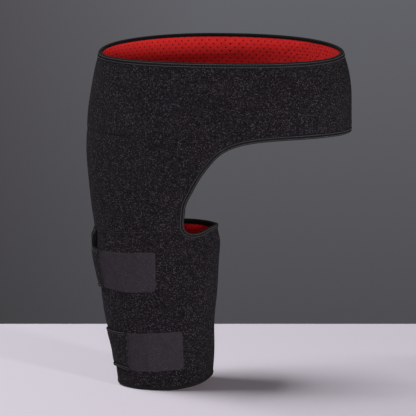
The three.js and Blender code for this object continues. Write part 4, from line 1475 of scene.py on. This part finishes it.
flap_out = FLAP + SEWN_GAP + (FLAP_OUTER - FLAP - SEWN_GAP) * sewn_down + lift
flap = cloth_sheet(
    "closing_flap_cloth", *settled(*rounded_corner(angle, drop)), flap_edge, FLAP + lift, flap_out,
    loop_pile, FLAP_ROUNDING, (angle * CUFF_STEP, drop),
    covered=mid_angle < end_angle, nodes=["closing_flap"], slot="outer_loop",
)

# %% [markdown]
# ## Tapes of the flap
# The flap is bound like the other edges, in three lengths that stop at the hook tabs. Folded tape can't
# turn a sharp corner, so its line turns each of them on a quarter circle.

# %% Tapes of the flap
FLAP_TAPE_WIDTH = 4.5
CORNER_RADIUS = 4.5
FLAP_TAPE_STEP = 1.5
# Largest share of a stretch that a rounded corner may take
CORNER_SHARE = 0.45


def rounded_line(corners, radii):
    """Line of (angle, drop) through corners, each inner one cut off by a quarter circle of its radius."""
    line = np.asarray(corners, float) * np.array([CUFF_STEP, 1])
    parts = [line[:1]]
    turn = np.radians(np.linspace(0, 90, 7))[:, None]
    for before, here, after, radius in zip(line[:-2], line[1:-1], line[2:], radii):
        arriving = (here - before) / np.linalg.norm(here - before)
        leaving = (after - here) / np.linalg.norm(after - here)
        shorter = min(np.linalg.norm(here - before), np.linalg.norm(after - here))
        r = min(radius, CORNER_SHARE * shorter)
        centre = here - arriving * r + leaving * r
        parts.append(centre - leaving * r * np.cos(turn) + arriving * r * np.sin(turn))
    parts.append(line[-1:])
    return np.vstack(parts) / np.array([CUFF_STEP, 1])


flap_line = flap_outline(0)
flap_tape_corners = {
    "flap_top_tape": (flap_line[:4], "flap_top_binding"),
    "flap_middle_tape": (flap_line[4:8], "flap_middle_binding"),
    "flap_bottom_tape": (flap_line[8:], "flap_bottom_binding"),
}
flap_tapes = {}
for tape_name, (corners, node) in flap_tape_corners.items():
    radii = [FRONT_CORNER_RADIUS if tape_name == "flap_top_tape" else CORNER_RADIUS, CORNER_RADIUS]
    line = resample(rounded_line(corners, radii), FLAP_TAPE_STEP, False)
    line = np.stack(settled(*line.T), axis=1)
    tape = fold_tape(
        tape_name, line, False, -1, FLAP_TAPE_WIDTH, FLAP_OUTER, FLAP_OUTER - FLAP, node, flap_lift,
        inside_material=edge_tape,
    )
    stitches = cover_stitch(tape_name, line, False, -1, FLAP_TAPE_WIDTH, FLAP_OUTER, flap_lift)
    flap_tapes[tape_name] = (tape, stitches)

# %% [markdown]
# ## Hook tabs
# A hook tab is a strip of smooth hook tape, sewn to the tongue's end and pressed on to the loop cloth.
# It is a thin closed sheet with rounded free corners: near the end its two sides draw in along a
# quarter circle, so the grid stays regular.

# %% Shape of a hook tab
TAB = 1.3
TAB_CORNER = 4.0
TAB_STEP = 6.0
TAB_PRESSED = 0.1
BASE_ROW = 2.6
TAB_GRID_STEP = 2.2
TAB_ROUNDING = 0.6
BASE_STITCH_LENGTH = 0.7


def base_stitch(name, angle, top, height, out_at):
    """Needle row down a tab's sewn end."""
    drops = np.arange(top + BASE_ROW, top + height - BASE_ROW, STITCH_PITCH)[:-1]
    angles = np.full(len(drops), angle)
    starts_and_ends = []
    for drop in (drops, drops + BASE_STITCH_LENGTH * STITCH_PITCH):
        starts_and_ends.append(np.column_stack([*settled(angles, drop), out_at(angles, drop)]))
    return thread_piece(name, *starts_and_ends, dark_thread, slot="hook_tape")


def tab_sheet(name, start, end, top, height, out_at, node, step=CUFF_STEP, round_start=False):
    """Tab from one angle to another at a drop; out_at(angle, drop) is the level of its outer face and
    step the millimetres round the body for a degree."""
    length = (end - start) * step
    far = spaced(0, length, TAB_GRID_STEP, TAB_ROUNDING)
    corner_depth = np.clip(far - (length - TAB_CORNER), 0, TAB_CORNER)
    if round_start:
        corner_depth = np.maximum(corner_depth, np.clip(TAB_CORNER - far, 0, TAB_CORNER))
    draw_in = TAB_CORNER - np.sqrt(TAB_CORNER**2 - corner_depth**2)
    down = spaced(0, height, TAB_GRID_STEP, TAB_ROUNDING)
    share = down / height
    drop = top + draw_in[:, None] + share * (height - 2 * draw_in[:, None])
    angle = np.broadcast_to(start + far[:, None] / step, drop.shape)
    from_ends = np.minimum(far, length - far)[:, None]
    from_sides = np.minimum(share, 1 - share) * (height - 2 * draw_in[:, None])
    edge = np.minimum(from_ends, from_sides)
    edge[[0, -1]] = 0
    edge[:, [0, -1]] = 0
    flat = (angle * step, drop)
    tab = cloth_sheet(
        name, *settled(angle, drop), edge, TAB, out_at(angle, drop), hook_back, TAB_ROUNDING, flat,
        nodes=[node], slot="hook_tape",
    )
    stitched_at = start + BASE_ROW / step
    return tab, base_stitch(name.replace("cloth", "base_stitches"), stitched_at, top, height, out_at)


print("hook tape:", TAB, "mm thick")

# %% [markdown]
# ## Tabs of the tongues
# Each tab is sewn edge to edge to its tongue and steps down from the tongue's level to the cuff's, where
# its hooks hold. The step is one smooth curve, because stiff hook tape doesn't crease.

# %% Tabs of the tongues
# How far a tab starts before its tongue's end, in degrees, and how far it lies below the tongue's face
TAB_OVERLAP = 0.4
TAB_SUNK = 0.3
UPPER_TAB_END = 273.5
LOWER_TAB_END = 297.5


def tongue_tab(name, tongue_end, end, top, height, node):
    """Tab sewn edge to edge to a tongue, stepping down from its level to the cuff."""
    def out_at(angle, drop):
        """The tongue's level less a smooth step down to the tab's own thickness."""
        down = smooth_step((angle - tongue_end) * CUFF_STEP / TAB_STEP)
        high = FLAP_OUTER - TAB_SUNK + flap_lift(tongue_end, drop)
        return high + (TAB + TAB_PRESSED - high) * down
    return tab_sheet(name, tongue_end - TAB_OVERLAP, end, top + TAB_MARGIN, height, out_at, node)


upper_tab, upper_base = tongue_tab(
    "upper_tab_cloth", UPPER_END, UPPER_TAB_END, UPPER_TOP, UPPER_TAB_HEIGHT, "upper_hook_tab"
)
lower_tab, lower_base = tongue_tab(
    "lower_tab_cloth", LOWER_END, LOWER_TAB_END, LOWER_TOP, LOWER_TAB_HEIGHT, "lower_hook_tab"
)

# %% [markdown]
# ## Waist tab
# The band closes with one wider tab, pressed on to its back. It is out of sight in the photograph, so it
# is kept plain: the same sheet with all four corners rounded.

# %% Waist tab
WAIST_TAB_START = 72.0
WAIST_TAB_END = 108.0
WAIST_TAB_HEIGHT = 50.0
WAIST_TAB_TOP = (BAND_HEIGHT - WAIST_TAB_HEIGHT) / 2


def waist_tab_out(angle, drop):
    """The waist tab lies pressed on the band all over."""
    return np.full(np.shape(drop), TAB + TAB_PRESSED)


waist_tab, waist_base = tab_sheet(
    "waist_tab_cloth", WAIST_TAB_START, WAIST_TAB_END, WAIST_TAB_TOP, WAIST_TAB_HEIGHT, waist_tab_out,
    "waist_hook_tab", step=float(girth_step(BAND_HEIGHT / 2)), round_start=True,
)

# %% [markdown]
# ## Each cloth as it was cut
# Every piece here is a sheet, so its flat size is stated. The widths are the lengths round the body at the
# middle of each piece, and an area is given where the cut isn't a rectangle.

# %% Flat sizes
# Piece, width and length in metres, area in square metres, how it is held, what it lies on, what is on it
cut_sheets = [
    (band, (0.865, 0.096), None, "stretched", [hip], []),
    (hip, (0.545, 0.125), 0.045, "stretched", [cuff], [cuff_seam]),
    (cuff, (0.455, 0.197), 0.0795, "stretched", ["floor"], []),
    (band_lining, (0.85, 0.096), None, "laid", [band], []),
    (hip_lining, (0.535, 0.125), 0.0445, "laid", [hip], []),
    (cuff_lining, (0.445, 0.197), 0.078, "laid", [cuff], []),
    (waist_tape, (0.84, 0.015), None, "folded", [band], waist_stitches),
    (leg_tape, (1.03, 0.017), None, "folded", [hip], leg_stitches),
    (knee_tape, (0.36, 0.012), None, "folded", [cuff], []),
    (flap, (0.15, 0.184), 0.0205, "laid", [cuff], []),
    (upper_tab, (0.078, 0.052), None, "laid", [cuff], [upper_base]),
    (lower_tab, (0.072, 0.05), None, "laid", [cuff], [lower_base]),
    (waist_tab, (0.106, 0.05), None, "laid", [band], [waist_base]),
]
flap_tape_lengths = {"flap_top_tape": 0.15, "flap_middle_tape": 0.165, "flap_bottom_tape": 0.145}
for tape_name, (tape, stitches) in flap_tapes.items():
    cut_sheets.append((tape, (flap_tape_lengths[tape_name], 0.012), None, "folded", [flap], stitches))
for piece, flat_size, area, held, lies_on, on_it in cut_sheets:
    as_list(lies_on)
    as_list(on_it)
print("sheets declared:", len(cut_sheets))

# %% [markdown]
# ## Floor
# A pale floor ends a little behind the wrap. It is one large sheet that is turned with the camera, so
# that its far edge is the level line of the photograph.

# %% Floor
floor_material = bpy.data.materials.new("floor")
floor_material.use_nodes = True
floor_shader = floor_material.node_tree.nodes["Principled BSDF"]
floor_shader.inputs["Base Color"].default_value = (0.77, 0.72, 0.81, 1)
floor_shader.inputs["Roughness"].default_value = 0.6
FLOOR_SIZE = 6.0
FLOOR_BACK_EDGE = 0.386
lowest = float(cad_box[0].z)
floor_mesh = bpy.data.meshes.new("floor")
ahead = Vector((CAMERA_AIM.x - CAMERA_PLACE.x, CAMERA_AIM.y - CAMERA_PLACE.y, 0)).normalized()
aside = Vector((ahead.y, -ahead.x, 0))
floor_corners = [(-1, -FLOOR_SIZE), (1, -FLOOR_SIZE), (1, FLOOR_BACK_EDGE), (-1, FLOOR_BACK_EDGE)]
floor_mesh.from_pydata(
    [aside * side * FLOOR_SIZE + ahead * far + Vector((0, 0, lowest)) for side, far in floor_corners],
    [],
    [(0, 1, 2, 3)],
)
floor_mesh.materials.append(floor_material)
floor = bpy.data.objects.new("floor", floor_mesh)
bpy.context.scene.collection.objects.link(floor)
print("floor at", round(lowest, 4), "m")

# %% [markdown]
# ## Room
# The room beyond the floor is a plain mid grey with painted shade, so that it grows a little lighter to the
# upper right. The camera sees that grey, while every other ray meets a dim even light, so the background can
# be matched without changing the light on the cloth.

# %% Room
# The lower and left wall colours are darker than the upper and right ones: painted shade on the wall.
WALL_LOW = ((0.052, 0.05, 0.055), (0.076, 0.075, 0.083))
WALL_HIGH = ((0.085, 0.08, 0.09), (0.122, 0.124, 0.137))
ROOM_LIGHT = (0.04, 0.04, 0.042)
world = bpy.data.worlds.new("room")
bpy.context.scene.world = world
world.use_nodes = True
room = world.node_tree
background = room.nodes["Background"]
seen = add_node(room, "LightPath").outputs["Is Camera Ray"]
heading = add_node(room, "SeparateXYZ", {"Vector": add_node(room, "TexCoord").outputs["Generated"]})
upwards = ramp(room, heading.outputs["Z"], -0.2, -0.11)
aside_share = ramp(room, heading.outputs["X"], -0.185, -0.125)
wall_colour = mix_colour(
    room, upwards, mix_colour(room, aside_share, *WALL_LOW), mix_colour(room, aside_share, *WALL_HIGH)
)
room.links.new(mix_colour(room, seen, ROOM_LIGHT, wall_colour), background.inputs["Color"])
print("light from the room:", ROOM_LIGHT)

# %% [markdown]
# ## Lamps
# One large soft lamp from the left and above gives the long shadow to the right. Two small ones near
# the camera lift the front of the cloth and the flecks in it.

# %% Lamps
# Name, place and aim in metres, width in metres, power in watts
lamps = (
    ("key", (-2.2, 0.05, 3.2), (0, 0, -0.3), 1.8, 156),
    ("front right", (2.7, -2.5, 0.16), (0, 0, -0.1), 0.35, 74),
    ("front", (0.5, -3.5, 0.16), (0, 0, -0.1), 0.35, 25),
)


def add_lamp(name, place, aim, width, power):
    """Square area lamp looking at a point."""
    data = bpy.data.lights.new(name, "AREA")
    data.size = width
    data.energy = power
    lamp = bpy.data.objects.new(name, data)
    lamp.location = place
    lamp.rotation_mode = "QUATERNION"
    lamp.rotation_quaternion = (Vector(aim) - Vector(place)).to_track_quat("-Z", "Y")
    bpy.context.scene.collection.objects.link(lamp)


for lamp_row in lamps:
    add_lamp(*lamp_row)
bpy.context.scene.view_settings.view_transform = "Standard"
print("lamps:", len(lamps))

# %% [markdown]
# ## Finish
# The imported box is printed.

# %% Sizes and finish
print("packed box:", np.round(cad_box, 4).tolist())
